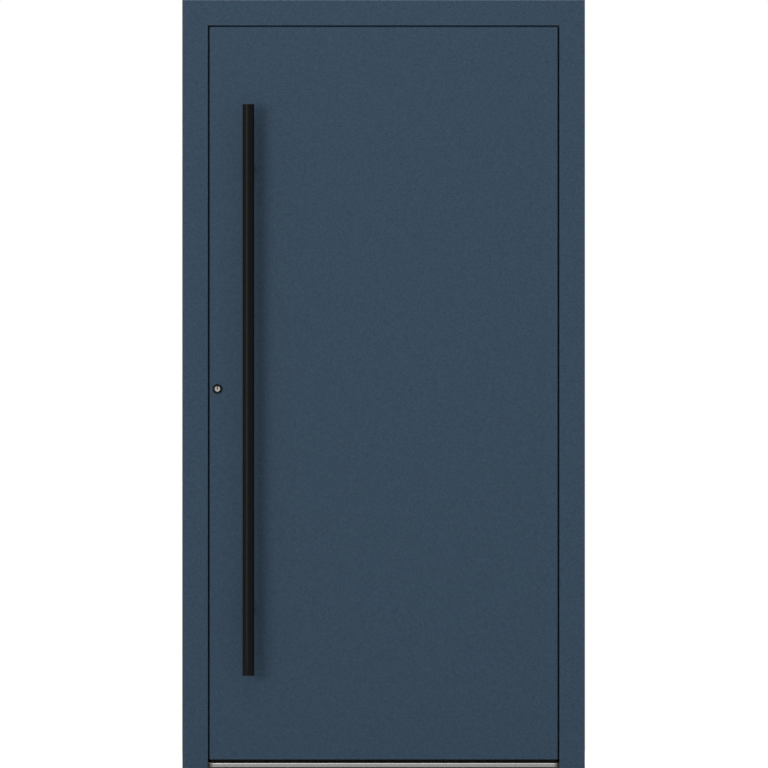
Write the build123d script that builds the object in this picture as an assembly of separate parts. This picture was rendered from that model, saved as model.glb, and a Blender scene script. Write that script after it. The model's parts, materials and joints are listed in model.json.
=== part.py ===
from build123d import *
import os

# Aluminium front door in its frame, with the leaf closed. All sizes are in millimetres.
# +Z is up, +X is to the right seen from outside, and +Y goes into the building.
# The origin is on the floor, at the middle of the frame's width and of its depth.
# A section is drawn in u and v: u runs from the wall side of a member towards the leaf's middle,
# and v runs from the outer face into the building.

# Whole door
DOOR_WIDTH = 1100.0
DOOR_HEIGHT = 2100.0
FRAME_DEPTH = 80.0

# Frame section
FRAME_FACE = 70.0
FRAME_BODY = 45.0
FRAME_WALL = 2.0
REBATE_WALL = 4.0
FRAME_SHELL_DEPTH = 24.0
FRAME_BREAK = 20.0
FRAME_BAR_INSET = 8.0
EDGE_DRAFT = 2.2
EDGE_RADIUS = 0.8
LEDGE_REACH = 12.0
LEDGE_ROOT = 3.0
LEDGE_THICKNESS = 5.5

# Leaf section and the gaps round it
LEAF_GAP = 5.0
LEG_GAP = 6.0
STOP_GAP = 4.0
LEDGE_GAP = 5.0
LIP_REACH = 11.0
LIP_THICKNESS = 3.0
LEAF_WALL = 2.0
LEAF_EDGE_WALL = 5.0
LEAF_BAR_INSET = 8.0
STILE_WIDTH = 75.0
BOTTOM_RAIL_HEIGHT = 100.0

# Infill panel and the beads that hold it
SHEET_THICKNESS = 3.0
CORE_THICKNESS = 45.0
INNER_SHEET_THICKNESS = 2.0
BEAD_WIDTH = 22.0
BEAD_WALL = 1.6
BEAD_CHAMFER = 4.0
BEAD_GASKET_THICKNESS = 4.0
BEAD_GASKET_WIDTH = 7.0
BEAD_GASKET_JOINT = 0.3

# Insulating bars, with dovetail heads rolled into the shells
BAR_THICKNESS = 2.0
BAR_HEAD_WIDTH = 4.0
BAR_HEAD_DEPTH = 3.0
BAR_SEAT_WALL = 2.0

# Rebate gaskets and their grooves
GROOVE_NECK = 2.6
GROOVE_NECK_DEPTH = 1.2
GROOVE_HEAD = 4.6
GROOVE_HEAD_DEPTH = 2.0
GROOVE_WALL = 1.6
GASKET_BULB = 6.4
GASKET_RADIUS = 1.1
STOP_GASKET_INSET = 3.8
LEDGE_GASKET_INSET = 4.0
SEAL_CLEARANCE = 0.5

# Threshold
THRESHOLD_HEIGHT = 15.0
THRESHOLD_BASE = 3.0
THRESHOLD_OUTER_DEPTH = 36.0
THRESHOLD_BREAK = 12.0
THRESHOLD_WALL = 2.0
THRESHOLD_NOSE_RADIUS = 2.5
THRESHOLD_END_GAP = 5.0
TREAD_GROOVES = 5
TREAD_GROOVE_WIDTH = 1.6
TREAD_GROOVE_DEPTH = 0.8
TREAD_GROOVE_PITCH = 4.5
TREAD_GROOVE_SETBACK = 8.0
BREAK_RECESS = 1.0
LEAF_FLOOR_GAP = 10.0
BOTTOM_SEAL_THICKNESS = 8.0
BOTTOM_SEAL_CLEARANCE = 1.0
BOTTOM_SEAL_PLACES = (18.0, 60.0)
BOTTOM_SEAL_END_GAP = 2.0

# Hinges
HINGE_FROM_FLOOR = 225.0
HINGE_FROM_HEAD = 245.0
HINGE_AXIS_PROUD = 15.0
BARREL_DIAMETER = 20.0
PIN_DIAMETER = 12.0
PIN_FIT = 0.05
LEAF_KNUCKLE_HEIGHT = 62.0
FRAME_KNUCKLE_HEIGHT = 38.0
KNUCKLE_GAP = 0.5
WING_WIDTH = 32.0
WING_THICKNESS = 11.0
WING_SETBACK = 2.5
WING_WEB = 6.0
WING_RADIUS = 2.0
PIN_CAP_HEIGHT = 3.0
PIN_CAP_CHAMFER = 1.0

# Pull handle outside
HANDLE_DIAMETER = 32.0
HANDLE_WALL = 2.0
HANDLE_LENGTH = 1560.0
HANDLE_EDGE_DISTANCE = 106.0
HANDLE_CENTRE_HEIGHT = 1034.0
HANDLE_STANDOFF = 57.0
HANDLE_CAP_THICKNESS = 2.0
SUPPORT_SPACING = 1200.0
SUPPORT_DIAMETER = 18.0
SUPPORT_FOOT_DIAMETER = 28.0
SUPPORT_FOOT_THICKNESS = 5.0
SADDLE_FIT = 0.05

# Lock, its bolts and the strike plates
BACKSET = 45.0
LOCK_LINE = 66.0
FACEPLATE_WIDTH = 24.0
FACEPLATE_THICKNESS = 3.0
FACEPLATE_BOTTOM_MARGIN = 115.0
FACEPLATE_TOP_MARGIN = 65.0
BOLT_THICKNESS = 11.0
BOLT_DEPTH = 18.0
BOLT_FIT = 0.3
LATCH_HEIGHT = 34.0
LATCH_BEVEL = 7.0
DEADBOLT_HEIGHT = 40.0
HOOK_BOLT_HEIGHT = 44.0
LATCH_BELOW_LEVER = 16.0
DEADBOLT_BELOW_CYLINDER = 28.0
HOOK_BOLT_INSET = 200.0
CASE_THICKNESS = 15.0
MAIN_CASE_DEPTH = 80.0
MAIN_CASE_RISE = 125.0
MAIN_CASE_DROP = 75.0
HOOK_CASE_DEPTH = 40.0
HOOK_CASE_HEIGHT = 130.0
CASE_FIT = 0.5
STRIKE_WIDTH = 24.0
STRIKE_THICKNESS = 2.5
STRIKE_MARGIN = 30.0
STRIKE_CLEARANCE = 2.0

# Lock cylinder
CYLINDER_HEIGHT = 1037.0
CYLINDER_DIAMETER = 17.0
CYLINDER_PROUD = 3.0
STEM_WIDTH = 10.0
STEM_DROP = 24.5
PASSAGE_CLEARANCE = 0.8
PLUG_DIAMETER = 13.0
PLUG_FIT = 0.05
PLUG_LENGTH = 30.0
PLUG_END_GAP = 0.3
KEYWAY_WIDTH = 2.6
KEYWAY_DEPTH = 26.0
KEYWAY_DROP = 1.5
RING_DIAMETER = 26.0
RING_PROUD = 4.0
RING_OPENING = 15.5
RING_LIP = 0.8
RING_FIT = 0.15
RING_CHAMFER = 1.0

# Inside furniture
ROSE_DIAMETER = 52.0
ROSE_THICKNESS = 8.0
ROSE_CHAMFER = 1.2
LEVER_ABOVE_CYLINDER = 92.0
LEVER_DIAMETER = 19.0
LEVER_PROJECTION = 54.0
LEVER_LENGTH = 122.0
LEVER_BEND = 18.0

# Fixing holes through the jambs into the wall
FIXING_DIAMETER = 10.5
FIXING_LINE = 62.0
FIXING_END_DISTANCE = 200.0
FIXING_INNER_SPACING = 600.0

# Planes and edges that several pieces share
HALF_WIDTH = DOOR_WIDTH / 2
OUTER_Y = -FRAME_DEPTH / 2
INNER_Y = FRAME_DEPTH / 2
FRAME_INNER_V = FRAME_SHELL_DEPTH + FRAME_BREAK
LEDGE_EDGE_U = FRAME_BODY + LEDGE_REACH
LEDGE_REAR_V = FRAME_INNER_V + LEDGE_ROOT
LEDGE_FRONT_V = LEDGE_REAR_V - LEDGE_THICKNESS
LEAF_EDGE_U = FRAME_FACE + LEAF_GAP
LEG_EDGE_U = FRAME_BODY + LEG_GAP
LIP_EDGE_U = LEAF_EDGE_U - LIP_REACH
LIP_FRONT_V = FRAME_SHELL_DEPTH + STOP_GAP
LEAF_OUTER_V = LIP_FRONT_V + LIP_THICKNESS
LEAF_INNER_V = LEDGE_REAR_V + LEDGE_GAP
PANEL_EDGE_U = LEAF_EDGE_U + STILE_WIDTH
PANEL_REAR_V = SHEET_THICKNESS + CORE_THICKNESS + INNER_SHEET_THICKNESS
BEAD_FRONT_V = PANEL_REAR_V + BEAD_GASKET_THICKNESS
LEAF_HALF_WIDTH = HALF_WIDTH - LEAF_EDGE_U
LEAF_TOP = DOOR_HEIGHT - LEAF_EDGE_U
LEAF_BOTTOM = THRESHOLD_HEIGHT + LEAF_FLOOR_GAP
PANEL_HALF_WIDTH = HALF_WIDTH - PANEL_EDGE_U
PANEL_TOP = DOOR_HEIGHT - PANEL_EDGE_U
PANEL_BOTTOM = LEAF_BOTTOM + BOTTOM_RAIL_HEIGHT
STOP_GASKET_U = FRAME_FACE - EDGE_DRAFT - STOP_GASKET_INSET
LEDGE_GASKET_U = LEDGE_EDGE_U - LEDGE_GASKET_INSET
FRAME_BARS = (FRAME_BAR_INSET, FRAME_BODY - FRAME_BAR_INSET)
LEAF_BARS = (LEAF_EDGE_U + LEAF_BAR_INSET, PANEL_EDGE_U - LEAF_BAR_INSET)
HINGE_TOP = DOOR_HEIGHT - HINGE_FROM_HEAD
HINGE_HEIGHTS = (HINGE_FROM_FLOOR, (HINGE_FROM_FLOOR + HINGE_TOP) / 2, HINGE_TOP)
HINGE_X = HALF_WIDTH - FRAME_BODY - LEG_GAP / 2
HINGE_Y = INNER_Y + HINGE_AXIS_PROUD
THRESHOLD_HALF_WIDTH = HALF_WIDTH - FRAME_FACE - THRESHOLD_END_GAP
HANDLE_X = HANDLE_EDGE_DISTANCE - LEAF_HALF_WIDTH
HANDLE_Y = OUTER_Y - HANDLE_STANDOFF
CYLINDER_X = LEG_EDGE_U + BACKSET - HALF_WIDTH
LEVER_HEIGHT = CYLINDER_HEIGHT + LEVER_ABOVE_CYLINDER
LOCK_Y = OUTER_Y + LOCK_LINE
LEG_EDGE_X = LEG_EDGE_U - HALF_WIDTH
REBATE_X = FRAME_BODY - HALF_WIDTH
FACEPLATE_BOTTOM = LEAF_BOTTOM + FACEPLATE_BOTTOM_MARGIN
FACEPLATE_TOP = LEAF_TOP - FACEPLATE_TOP_MARGIN
FIXING_SPACINGS = (DOOR_HEIGHT - 2 * FIXING_END_DISTANCE, FIXING_INNER_SPACING)

# Each bolt's middle height and height, from the bottom one up
LATCH = (LEVER_HEIGHT - LATCH_BELOW_LEVER, LATCH_HEIGHT)
BOLTS = (
    (FACEPLATE_BOTTOM + HOOK_BOLT_INSET, HOOK_BOLT_HEIGHT),
    (CYLINDER_HEIGHT - DEADBOLT_BELOW_CYLINDER, DEADBOLT_HEIGHT),
    LATCH,
    (FACEPLATE_TOP - HOOK_BOLT_INSET, HOOK_BOLT_HEIGHT),
)

# Each lock case's lowest point, highest point and depth behind the faceplate
LOCK_CASES = (
    (BOLTS[0][0] - HOOK_CASE_HEIGHT / 2, BOLTS[0][0] + HOOK_CASE_HEIGHT / 2, HOOK_CASE_DEPTH),
    (CYLINDER_HEIGHT - MAIN_CASE_DROP, CYLINDER_HEIGHT + MAIN_CASE_RISE, MAIN_CASE_DEPTH),
    (BOLTS[3][0] - HOOK_CASE_HEIGHT / 2, BOLTS[3][0] + HOOK_CASE_HEIGHT / 2, HOOK_CASE_DEPTH),
)


def region(u0, u1, v0, v1):
    """A rectangle between two corners of a section."""
    return Pos((u0 + u1) / 2, (v0 + v1) / 2) * Rectangle(u1 - u0, v1 - v0)


def block(x0, x1, y0, y1, z0, z1):
    """A box between two corners."""
    centre = Pos((x0 + x1) / 2, (y0 + y1) / 2, (z0 + z1) / 2)
    return centre * Box(x1 - x0, y1 - y0, z1 - z0)


def along_y(section, y0, y1):
    """A section drawn in x and z, carried from y0 to y1."""
    return extrude(Plane.XZ.offset(-y1) * section, amount=y1 - y0)


def along_z(section, z0, z1):
    """A section drawn in x and y, carried from z0 to z1."""
    return extrude(Plane.XY.offset(z0) * section, amount=z1 - z0)


def upright(section, low):
    """A section carried up the lock side from height low and mitred at the head."""
    foot = Plane(origin=(-HALF_WIDTH, OUTER_Y, low), x_dir=(1, 0, 0), z_dir=(0, 0, 1))
    below_mitre = Polygon(
        (-HALF_WIDTH, 0), (0, 0), (0, DOOR_HEIGHT - HALF_WIDTH), (-HALF_WIDTH, DOOR_HEIGHT)
    )
    bar = extrude(foot * section, amount=DOOR_HEIGHT - low)
    return bar & along_y(below_mitre, OUTER_Y, INNER_Y)


def crossbar(section):
    """A section carried across the head and mitred at both ends."""
    end = Plane(origin=(-HALF_WIDTH, OUTER_Y, DOOR_HEIGHT), x_dir=(0, 0, -1), z_dir=(1, 0, 0))
    above_mitre = Polygon(
        (-HALF_WIDTH, DOOR_HEIGHT), (0, DOOR_HEIGHT - HALF_WIDTH), (HALF_WIDTH, DOOR_HEIGHT)
    )
    bar = extrude(end * section, amount=DOOR_WIDTH)
    return bar & along_y(above_mitre, OUTER_Y, INNER_Y)


def sill(section, half_width, height):
    """A section drawn in height above a level and v, carried across between two uprights."""
    end = Plane(origin=(half_width, OUTER_Y, height), x_dir=(0, 0, 1), z_dir=(-1, 0, 0))
    return extrude(end * section, amount=2 * half_width)


def other_side(shape):
    """The mirror image on the other jamb's side."""
    return mirror(shape, about=Plane.YZ)


def bar_head(u, v, inward):
    """Dovetail head of an insulating bar, in the shell whose rim is at v."""
    tip = v + inward * BAR_HEAD_DEPTH
    (low, low_half), (high, high_half) = sorted([(v, BAR_THICKNESS / 2), (tip, BAR_HEAD_WIDTH / 2)])
    return Polygon(
        (u - low_half, low), (u + low_half, low), (u + high_half, high), (u - high_half, high)
    )


def bar_seat(u, v, inward):
    """Thick metal round a dovetail head."""
    half = BAR_HEAD_WIDTH / 2 + BAR_SEAT_WALL
    depth = v + inward * (BAR_HEAD_DEPTH + BAR_SEAT_WALL)
    return region(u - half, u + half, min(v, depth), max(v, depth))


def insulating_bars(places, v0, v1):
    """The pair of plastic bars that joins two shells and keeps the cold out."""
    section = Sketch()
    for u in places:
        section += region(u - BAR_THICKNESS / 2, u + BAR_THICKNESS / 2, v0, v1)
        section += bar_head(u, v0, -1) + bar_head(u, v1, 1)
    return section


def with_bar_seats(section, places, v, inward):
    """A shell's section with the dovetail grooves for its bars along the rim at v."""
    for u in places:
        section += bar_seat(u, v, inward)
    for u in places:
        section -= bar_head(u, v, inward)
    return section


def gasket_foot(u, v):
    """The T-shaped foot of a gasket below the face at v, and the groove that holds it."""
    neck = region(u - GROOVE_NECK / 2, u + GROOVE_NECK / 2, v - GROOVE_NECK_DEPTH, v)
    low = v - GROOVE_NECK_DEPTH - GROOVE_HEAD_DEPTH
    return neck + region(u - GROOVE_HEAD / 2, u + GROOVE_HEAD / 2, low, v - GROOVE_NECK_DEPTH)


def gasket_land(u, v):
    """Thick metal round a gasket's groove."""
    half = GROOVE_HEAD / 2 + GROOVE_WALL
    return region(u - half, u + half, v - GROOVE_NECK_DEPTH - GROOVE_HEAD_DEPTH - GROOVE_WALL, v)


def gasket_section(u, v, reach):
    """A gasket on its foot, with a rounded bulb that stands reach above the face at v."""
    bulb = region(u - GASKET_BULB / 2, u + GASKET_BULB / 2, v, v + reach)
    tips = bulb.vertices().group_by(Axis.Y)[-1]
    return fillet(tips, GASKET_RADIUS) + gasket_foot(u, v)


def frame_outer_outline():
    """Outer shell of the frame, whose closing edge leans back to let the leaf's front edge swing past."""
    return Polygon(
        (0, 0),
        (FRAME_FACE, 0),
        (FRAME_FACE - EDGE_DRAFT, FRAME_SHELL_DEPTH),
        (0, FRAME_SHELL_DEPTH),
    )


def frame_outer_section():
    """Outer shell: one chamber, two bar grooves and the groove of the stop gasket."""
    wall = FRAME_WALL
    rear = FRAME_SHELL_DEPTH
    section = fillet(frame_outer_outline().vertices().sort_by(Axis.X)[-1], EDGE_RADIUS)
    section -= Polygon(
        (wall, wall),
        (FRAME_FACE - wall, wall),
        (FRAME_FACE - EDGE_DRAFT - wall, rear - wall),
        (wall, rear - wall),
    )
    section += gasket_land(STOP_GASKET_U, rear) & frame_outer_outline()
    section = with_bar_seats(section, FRAME_BARS, rear, -1)
    return section - gasket_foot(STOP_GASKET_U, rear)


def frame_inner_section():
    """Inner shell: one chamber, with a thicker wall where the strike plates are let in."""
    section = region(0, FRAME_BODY, FRAME_INNER_V, FRAME_DEPTH)
    section -= region(
        FRAME_WALL, FRAME_BODY - REBATE_WALL, FRAME_INNER_V + FRAME_WALL, FRAME_DEPTH - FRAME_WALL
    )
    return with_bar_seats(section, FRAME_BARS, FRAME_INNER_V, 1)


def frame_ledge_outline():
    """The ledge that grows from the inner bar, rests on the inner shell's rim and enters the rebate."""
    root = region(FRAME_BARS[1], FRAME_BODY, LEDGE_FRONT_V, FRAME_INNER_V)
    return root + region(FRAME_BODY, LEDGE_EDGE_U, LEDGE_FRONT_V, LEDGE_REAR_V)


def frame_break_section():
    """The frame's insulating bars, with the inner gasket's groove in the ledge of the inner one."""
    bars = insulating_bars(FRAME_BARS, FRAME_SHELL_DEPTH, FRAME_INNER_V) + frame_ledge_outline()
    return bars - gasket_foot(LEDGE_GASKET_U, LEDGE_REAR_V)


def leaf_outer_section():
    """Outer shell of a stile: one chamber, and the lip that closes on the stop gasket."""
    wall = LEAF_WALL
    section = region(LEAF_EDGE_U, PANEL_EDGE_U, SHEET_THICKNESS, LEAF_OUTER_V)
    section -= region(
        LEAF_EDGE_U + wall, PANEL_EDGE_U - wall, SHEET_THICKNESS + wall, LEAF_OUTER_V - wall
    )
    section += region(LIP_EDGE_U, LEAF_EDGE_U, LIP_FRONT_V, LEAF_OUTER_V)
    return with_bar_seats(section, LEAF_BARS, LEAF_OUTER_V, -1)


def leaf_inner_section():
    """Inner shell of a stile: one chamber, with a thick edge that holds the lock's faceplate."""
    section = region(LEG_EDGE_U, PANEL_EDGE_U, LEAF_INNER_V, FRAME_DEPTH)
    section -= region(
        LEG_EDGE_U + LEAF_EDGE_WALL,
        PANEL_EDGE_U - LEAF_WALL,
        LEAF_INNER_V + LEAF_WALL,
        FRAME_DEPTH - LEAF_WALL,
    )
    return with_bar_seats(section, LEAF_BARS, LEAF_INNER_V, 1)


def bottom_rail_shell(v0, v1, rim, inward):
    """A shell of the bottom rail: a plain rectangular tube with two bar grooves at its rim."""
    section = region(0, BOTTOM_RAIL_HEIGHT, v0, v1)
    section -= region(
        LEAF_WALL, BOTTOM_RAIL_HEIGHT - LEAF_WALL, v0 + LEAF_WALL, v1 - LEAF_WALL
    )
    section = with_bar_seats(section, bottom_rail_bars(), rim, inward)
    return sill(section, PANEL_HALF_WIDTH, LEAF_BOTTOM)


def bottom_rail_bars():
    """Heights of the bottom rail's two bars above its underside."""
    return (LEAF_BAR_INSET, BOTTOM_RAIL_HEIGHT - LEAF_BAR_INSET)


def euro_profile(clearance):
    """The round body and straight stem of a profile cylinder, seen along its axis."""
    half = STEM_WIDTH / 2 + clearance
    stem = region(-half, half, STEM_WIDTH / 2 - STEM_DROP, 0)
    tip = Pos(0, STEM_WIDTH / 2 - STEM_DROP) * Circle(half)
    body = Circle(CYLINDER_DIAMETER / 2 + clearance) + stem + tip
    return Pos(CYLINDER_X, CYLINDER_HEIGHT) * body


def at_cylinder(section):
    """A section moved to the lock cylinder's axis."""
    return Pos(CYLINDER_X, CYLINDER_HEIGHT) * section


def at_lever(section):
    """A section moved to the lever's axis."""
    return Pos(CYLINDER_X, LEVER_HEIGHT) * section


def lock_jamb_fixing_holes():
    """Holes for the frame anchors, through both walls of the inner shell."""
    holes = []
    for spacing in FIXING_SPACINGS:
        for height in ((DOOR_HEIGHT - spacing) / 2, (DOOR_HEIGHT + spacing) / 2):
            rod = Cylinder(FIXING_DIAMETER / 2, FRAME_BODY, rotation=(0, 90, 0))
            holes.append(Pos(FRAME_BODY / 2 - HALF_WIDTH, OUTER_Y + FIXING_LINE, height) * rod)
    return holes


def strike_spans():
    """Lowest and highest point of each strike plate, over the bolts that it serves."""
    lower, dead, latch, upper = BOLTS
    spans = []
    for first, last in ((lower, lower), (dead, latch), (upper, upper)):
        low = first[0] - first[1] / 2 - STRIKE_MARGIN
        high = last[0] + last[1] / 2 + STRIKE_MARGIN
        spans.append((low, high))
    return spans


def strike_windows(depth):
    """One window for each bolt, from the rebate face into the jamb."""
    half = BOLT_THICKNESS / 2 + STRIKE_CLEARANCE
    windows = []
    for middle, height in BOLTS:
        reach = height / 2 + STRIKE_CLEARANCE
        window = block(
            REBATE_X - depth, REBATE_X, LOCK_Y - half, LOCK_Y + half, middle - reach, middle + reach
        )
        windows.append(window)
    return windows


def strike_blanks():
    """The strike plates before their windows are cut, which is also what the jamb is cut for."""
    half = STRIKE_WIDTH / 2
    return [
        block(REBATE_X - STRIKE_THICKNESS, REBATE_X, LOCK_Y - half, LOCK_Y + half, low, high)
        for low, high in strike_spans()
    ]


def lock_jamb_inner_shell():
    shell = upright(frame_inner_section(), 0)
    return shell - lock_jamb_fixing_holes() - strike_blanks() - strike_windows(REBATE_WALL)


def hinge_jamb_inner_shell():
    return other_side(upright(frame_inner_section(), 0) - lock_jamb_fixing_holes())


def strike_plates():
    plates = [plate - strike_windows(REBATE_WALL) for plate in strike_blanks()]
    return Compound(plates)


def jamb_thermal_breaks():
    bars = upright(frame_break_section(), 0)
    return Compound([bars, other_side(bars)])


def rebate_gasket_sections():
    """The stop gasket on the frame's outer shell and the inner gasket on its ledge."""
    stop = gasket_section(STOP_GASKET_U, FRAME_SHELL_DEPTH, STOP_GAP - SEAL_CLEARANCE)
    inner = gasket_section(LEDGE_GASKET_U, LEDGE_REAR_V, LEDGE_GAP - SEAL_CLEARANCE)
    return stop + inner


def jamb_gaskets():
    strips = upright(rebate_gasket_sections(), THRESHOLD_HEIGHT)
    return Compound([strips, other_side(strips)])


def threshold_tube(v0, v1):
    """A hollow threshold rail between two depths, above the base."""
    top = THRESHOLD_HEIGHT - THRESHOLD_BASE
    section = region(0, top, v0, v1)
    return section - region(
        THRESHOLD_WALL, top - THRESHOLD_WALL, v0 + THRESHOLD_WALL, v1 - THRESHOLD_WALL
    )


def threshold_outer_rail():
    """Outer rail with a rounded nose and tread grooves behind it."""
    top = THRESHOLD_HEIGHT - THRESHOLD_BASE
    section = threshold_tube(0, THRESHOLD_OUTER_DEPTH)
    nose = section.vertices().filter_by_position(Axis.Y, -1, 1).sort_by(Axis.X)[-1]
    section = fillet(nose, THRESHOLD_NOSE_RADIUS)
    for i in range(TREAD_GROOVES):
        v = TREAD_GROOVE_SETBACK + i * TREAD_GROOVE_PITCH
        section -= region(top - TREAD_GROOVE_DEPTH, top, v, v + TREAD_GROOVE_WIDTH)
    return sill(section, THRESHOLD_HALF_WIDTH, THRESHOLD_BASE)


def threshold_inner_rail():
    tube = threshold_tube(THRESHOLD_OUTER_DEPTH + THRESHOLD_BREAK, FRAME_DEPTH)
    return sill(tube, THRESHOLD_HALF_WIDTH, THRESHOLD_BASE)


def threshold_thermal_break():
    top = THRESHOLD_HEIGHT - THRESHOLD_BASE - BREAK_RECESS
    section = region(0, top, THRESHOLD_OUTER_DEPTH, THRESHOLD_OUTER_DEPTH + THRESHOLD_BREAK)
    return sill(section, THRESHOLD_HALF_WIDTH, THRESHOLD_BASE)


def threshold_base():
    return sill(region(0, THRESHOLD_BASE, 0, FRAME_DEPTH), THRESHOLD_HALF_WIDTH, 0)


def threshold_end_blocks():
    """Plastic blocks that fill the frame's section beside the threshold."""
    edge = HALF_WIDTH - THRESHOLD_HALF_WIDTH
    section = region(FRAME_BODY, edge, 0, FRAME_DEPTH) - frame_outer_outline() - frame_ledge_outline()
    foot = Plane(origin=(-HALF_WIDTH, OUTER_Y, 0), x_dir=(1, 0, 0), z_dir=(0, 0, 1))
    left = extrude(foot * section, amount=THRESHOLD_HEIGHT)
    return Compound([left, other_side(left)])


def hinge_levels():
    """Heights of the joints between the knuckles of each hinge: bottom, lower, upper and top."""
    levels = []
    for middle in HINGE_HEIGHTS:
        lower = middle - LEAF_KNUCKLE_HEIGHT / 2 - KNUCKLE_GAP
        upper = middle + LEAF_KNUCKLE_HEIGHT / 2 + KNUCKLE_GAP
        levels.append((lower - FRAME_KNUCKLE_HEIGHT, lower, upper, upper + FRAME_KNUCKLE_HEIGHT))
    return levels


def knuckle_section(edge_x, side):
    """A barrel bored for the pin, with the wing that is screwed to the face beside it."""
    near = edge_x + side * WING_SETBACK
    far = near + side * WING_WIDTH
    wing = region(min(near, far), max(near, far), INNER_Y, INNER_Y + WING_THICKNESS)
    far_corner = wing.vertices().sort_by(Axis.Y)[-2:].sort_by(Axis.X)[-1 if side > 0 else 0]
    wing = fillet(far_corner, WING_RADIUS)
    top = INNER_Y + WING_THICKNESS
    web = region(min(near, HINGE_X), max(near, HINGE_X), top - WING_WEB, top)
    barrel = Pos(HINGE_X, HINGE_Y) * Circle(BARREL_DIAMETER / 2)
    bore = Pos(HINGE_X, HINGE_Y) * Circle(PIN_DIAMETER / 2 + PIN_FIT)
    return wing + web + barrel - bore


def hinge_frame_knuckles():
    section = knuckle_section(HALF_WIDTH - FRAME_BODY, 1)
    knuckles = []
    for bottom, lower, upper, top in hinge_levels():
        knuckles.append(along_z(section, bottom, lower))
        knuckles.append(along_z(section, upper, top))
    return Compound(knuckles)


def hinge_leaf_knuckles():
    section = knuckle_section(HALF_WIDTH - LEG_EDGE_U, -1)
    knuckles = []
    for bottom, lower, upper, top in hinge_levels():
        knuckles.append(along_z(section, lower + KNUCKLE_GAP, upper - KNUCKLE_GAP))
    return Compound(knuckles)


def hinge_pins():
    """Pins with a chamfered cap at each end."""
    pins = []
    for bottom, lower, upper, top in hinge_levels():
        place = Pos(HINGE_X, HINGE_Y)
        pin = along_z(place * Circle(PIN_DIAMETER / 2), bottom, top)
        caps = along_z(place * Circle(BARREL_DIAMETER / 2), bottom - PIN_CAP_HEIGHT, bottom)
        caps += along_z(place * Circle(BARREL_DIAMETER / 2), top, top + PIN_CAP_HEIGHT)
        ends = caps.edges().filter_by(GeomType.CIRCLE).group_by(Axis.Z)
        caps = chamfer(ends[0] + ends[-1], PIN_CAP_CHAMFER)
        pins.append(pin + caps)
    return Compound(pins)


def leaf_outer_sheet():
    sheet = block(
        -LEAF_HALF_WIDTH, LEAF_HALF_WIDTH, OUTER_Y, OUTER_Y + SHEET_THICKNESS, LEAF_BOTTOM, LEAF_TOP
    )
    hole = at_cylinder(Circle(CYLINDER_DIAMETER / 2 + RING_FIT))
    return sheet - along_y(hole, OUTER_Y, OUTER_Y + SHEET_THICKNESS)


def panel_layer(v0, v1):
    """A layer of the infill panel, between the stiles and the rails."""
    return block(
        -PANEL_HALF_WIDTH, PANEL_HALF_WIDTH, OUTER_Y + v0, OUTER_Y + v1, PANEL_BOTTOM, PANEL_TOP
    )


def leaf_foam_core():
    return panel_layer(SHEET_THICKNESS, SHEET_THICKNESS + CORE_THICKNESS)


def leaf_inner_sheet():
    return panel_layer(SHEET_THICKNESS + CORE_THICKNESS, PANEL_REAR_V)


def faceplate_blank():
    """The long plate of the lock before its windows are cut."""
    half = FACEPLATE_WIDTH / 2
    return block(
        LEG_EDGE_X,
        LEG_EDGE_X + FACEPLATE_THICKNESS,
        LOCK_Y - half,
        LOCK_Y + half,
        FACEPLATE_BOTTOM,
        FACEPLATE_TOP,
    )


def bolt_block(middle, height, clearance):
    """A bolt drawn back flush with the faceplate, or the room round it."""
    half = BOLT_THICKNESS / 2 + clearance
    reach = height / 2 + clearance
    return block(
        LEG_EDGE_X,
        LEG_EDGE_X + BOLT_DEPTH + clearance,
        LOCK_Y - half,
        LOCK_Y + half,
        middle - reach,
        middle + reach,
    )


def case_block(low, high, depth, clearance):
    """A lock case behind the faceplate, or the room round it."""
    half = CASE_THICKNESS / 2 + clearance
    front = LEG_EDGE_X + FACEPLATE_THICKNESS
    return block(
        front, front + depth + clearance, LOCK_Y - half, LOCK_Y + half, low - clearance, high + clearance
    )


def bolt_rooms():
    return [bolt_block(middle, height, BOLT_FIT) for middle, height in BOLTS]


def lock_faceplate():
    return faceplate_blank() - bolt_rooms()


def lock_bolts():
    """Two hook bolts, the dead bolt and the bevelled latch."""
    bolts = [bolt_block(middle, height, 0) for middle, height in BOLTS if (middle, height) != LATCH]
    half = BOLT_THICKNESS / 2
    nose = Polygon(
        (LEG_EDGE_X, LOCK_Y - half),
        (LEG_EDGE_X + BOLT_DEPTH, LOCK_Y - half),
        (LEG_EDGE_X + BOLT_DEPTH, LOCK_Y + half),
        (LEG_EDGE_X + LATCH_BEVEL, LOCK_Y + half),
    )
    bolts.append(along_z(nose, LATCH[0] - LATCH[1] / 2, LATCH[0] + LATCH[1] / 2))
    return Compound(bolts)


def lock_cases():
    passage = along_y(euro_profile(PASSAGE_CLEARANCE), OUTER_Y, INNER_Y)
    cases = [case_block(low, high, depth, 0) - bolt_rooms() - passage for low, high, depth in LOCK_CASES]
    return Compound(cases)


def leaf_lock_stile():
    """Both shells of the lock stile, cut for the faceplate, the lock cases and the cylinder."""
    passage = along_y(euro_profile(PASSAGE_CLEARANCE), OUTER_Y, INNER_Y)
    rooms = [case_block(low, high, depth, CASE_FIT) for low, high, depth in LOCK_CASES]
    outer = upright(leaf_outer_section(), LEAF_BOTTOM) - passage
    inner = upright(leaf_inner_section(), LEAF_BOTTOM) - faceplate_blank() - rooms - passage
    return Compound([outer, inner])


def leaf_hinge_stile():
    outer = upright(leaf_outer_section(), LEAF_BOTTOM)
    inner = upright(leaf_inner_section(), LEAF_BOTTOM)
    return Compound([other_side(outer), other_side(inner)])


def leaf_top_rail():
    return Compound([crossbar(leaf_outer_section()), crossbar(leaf_inner_section())])


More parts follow.
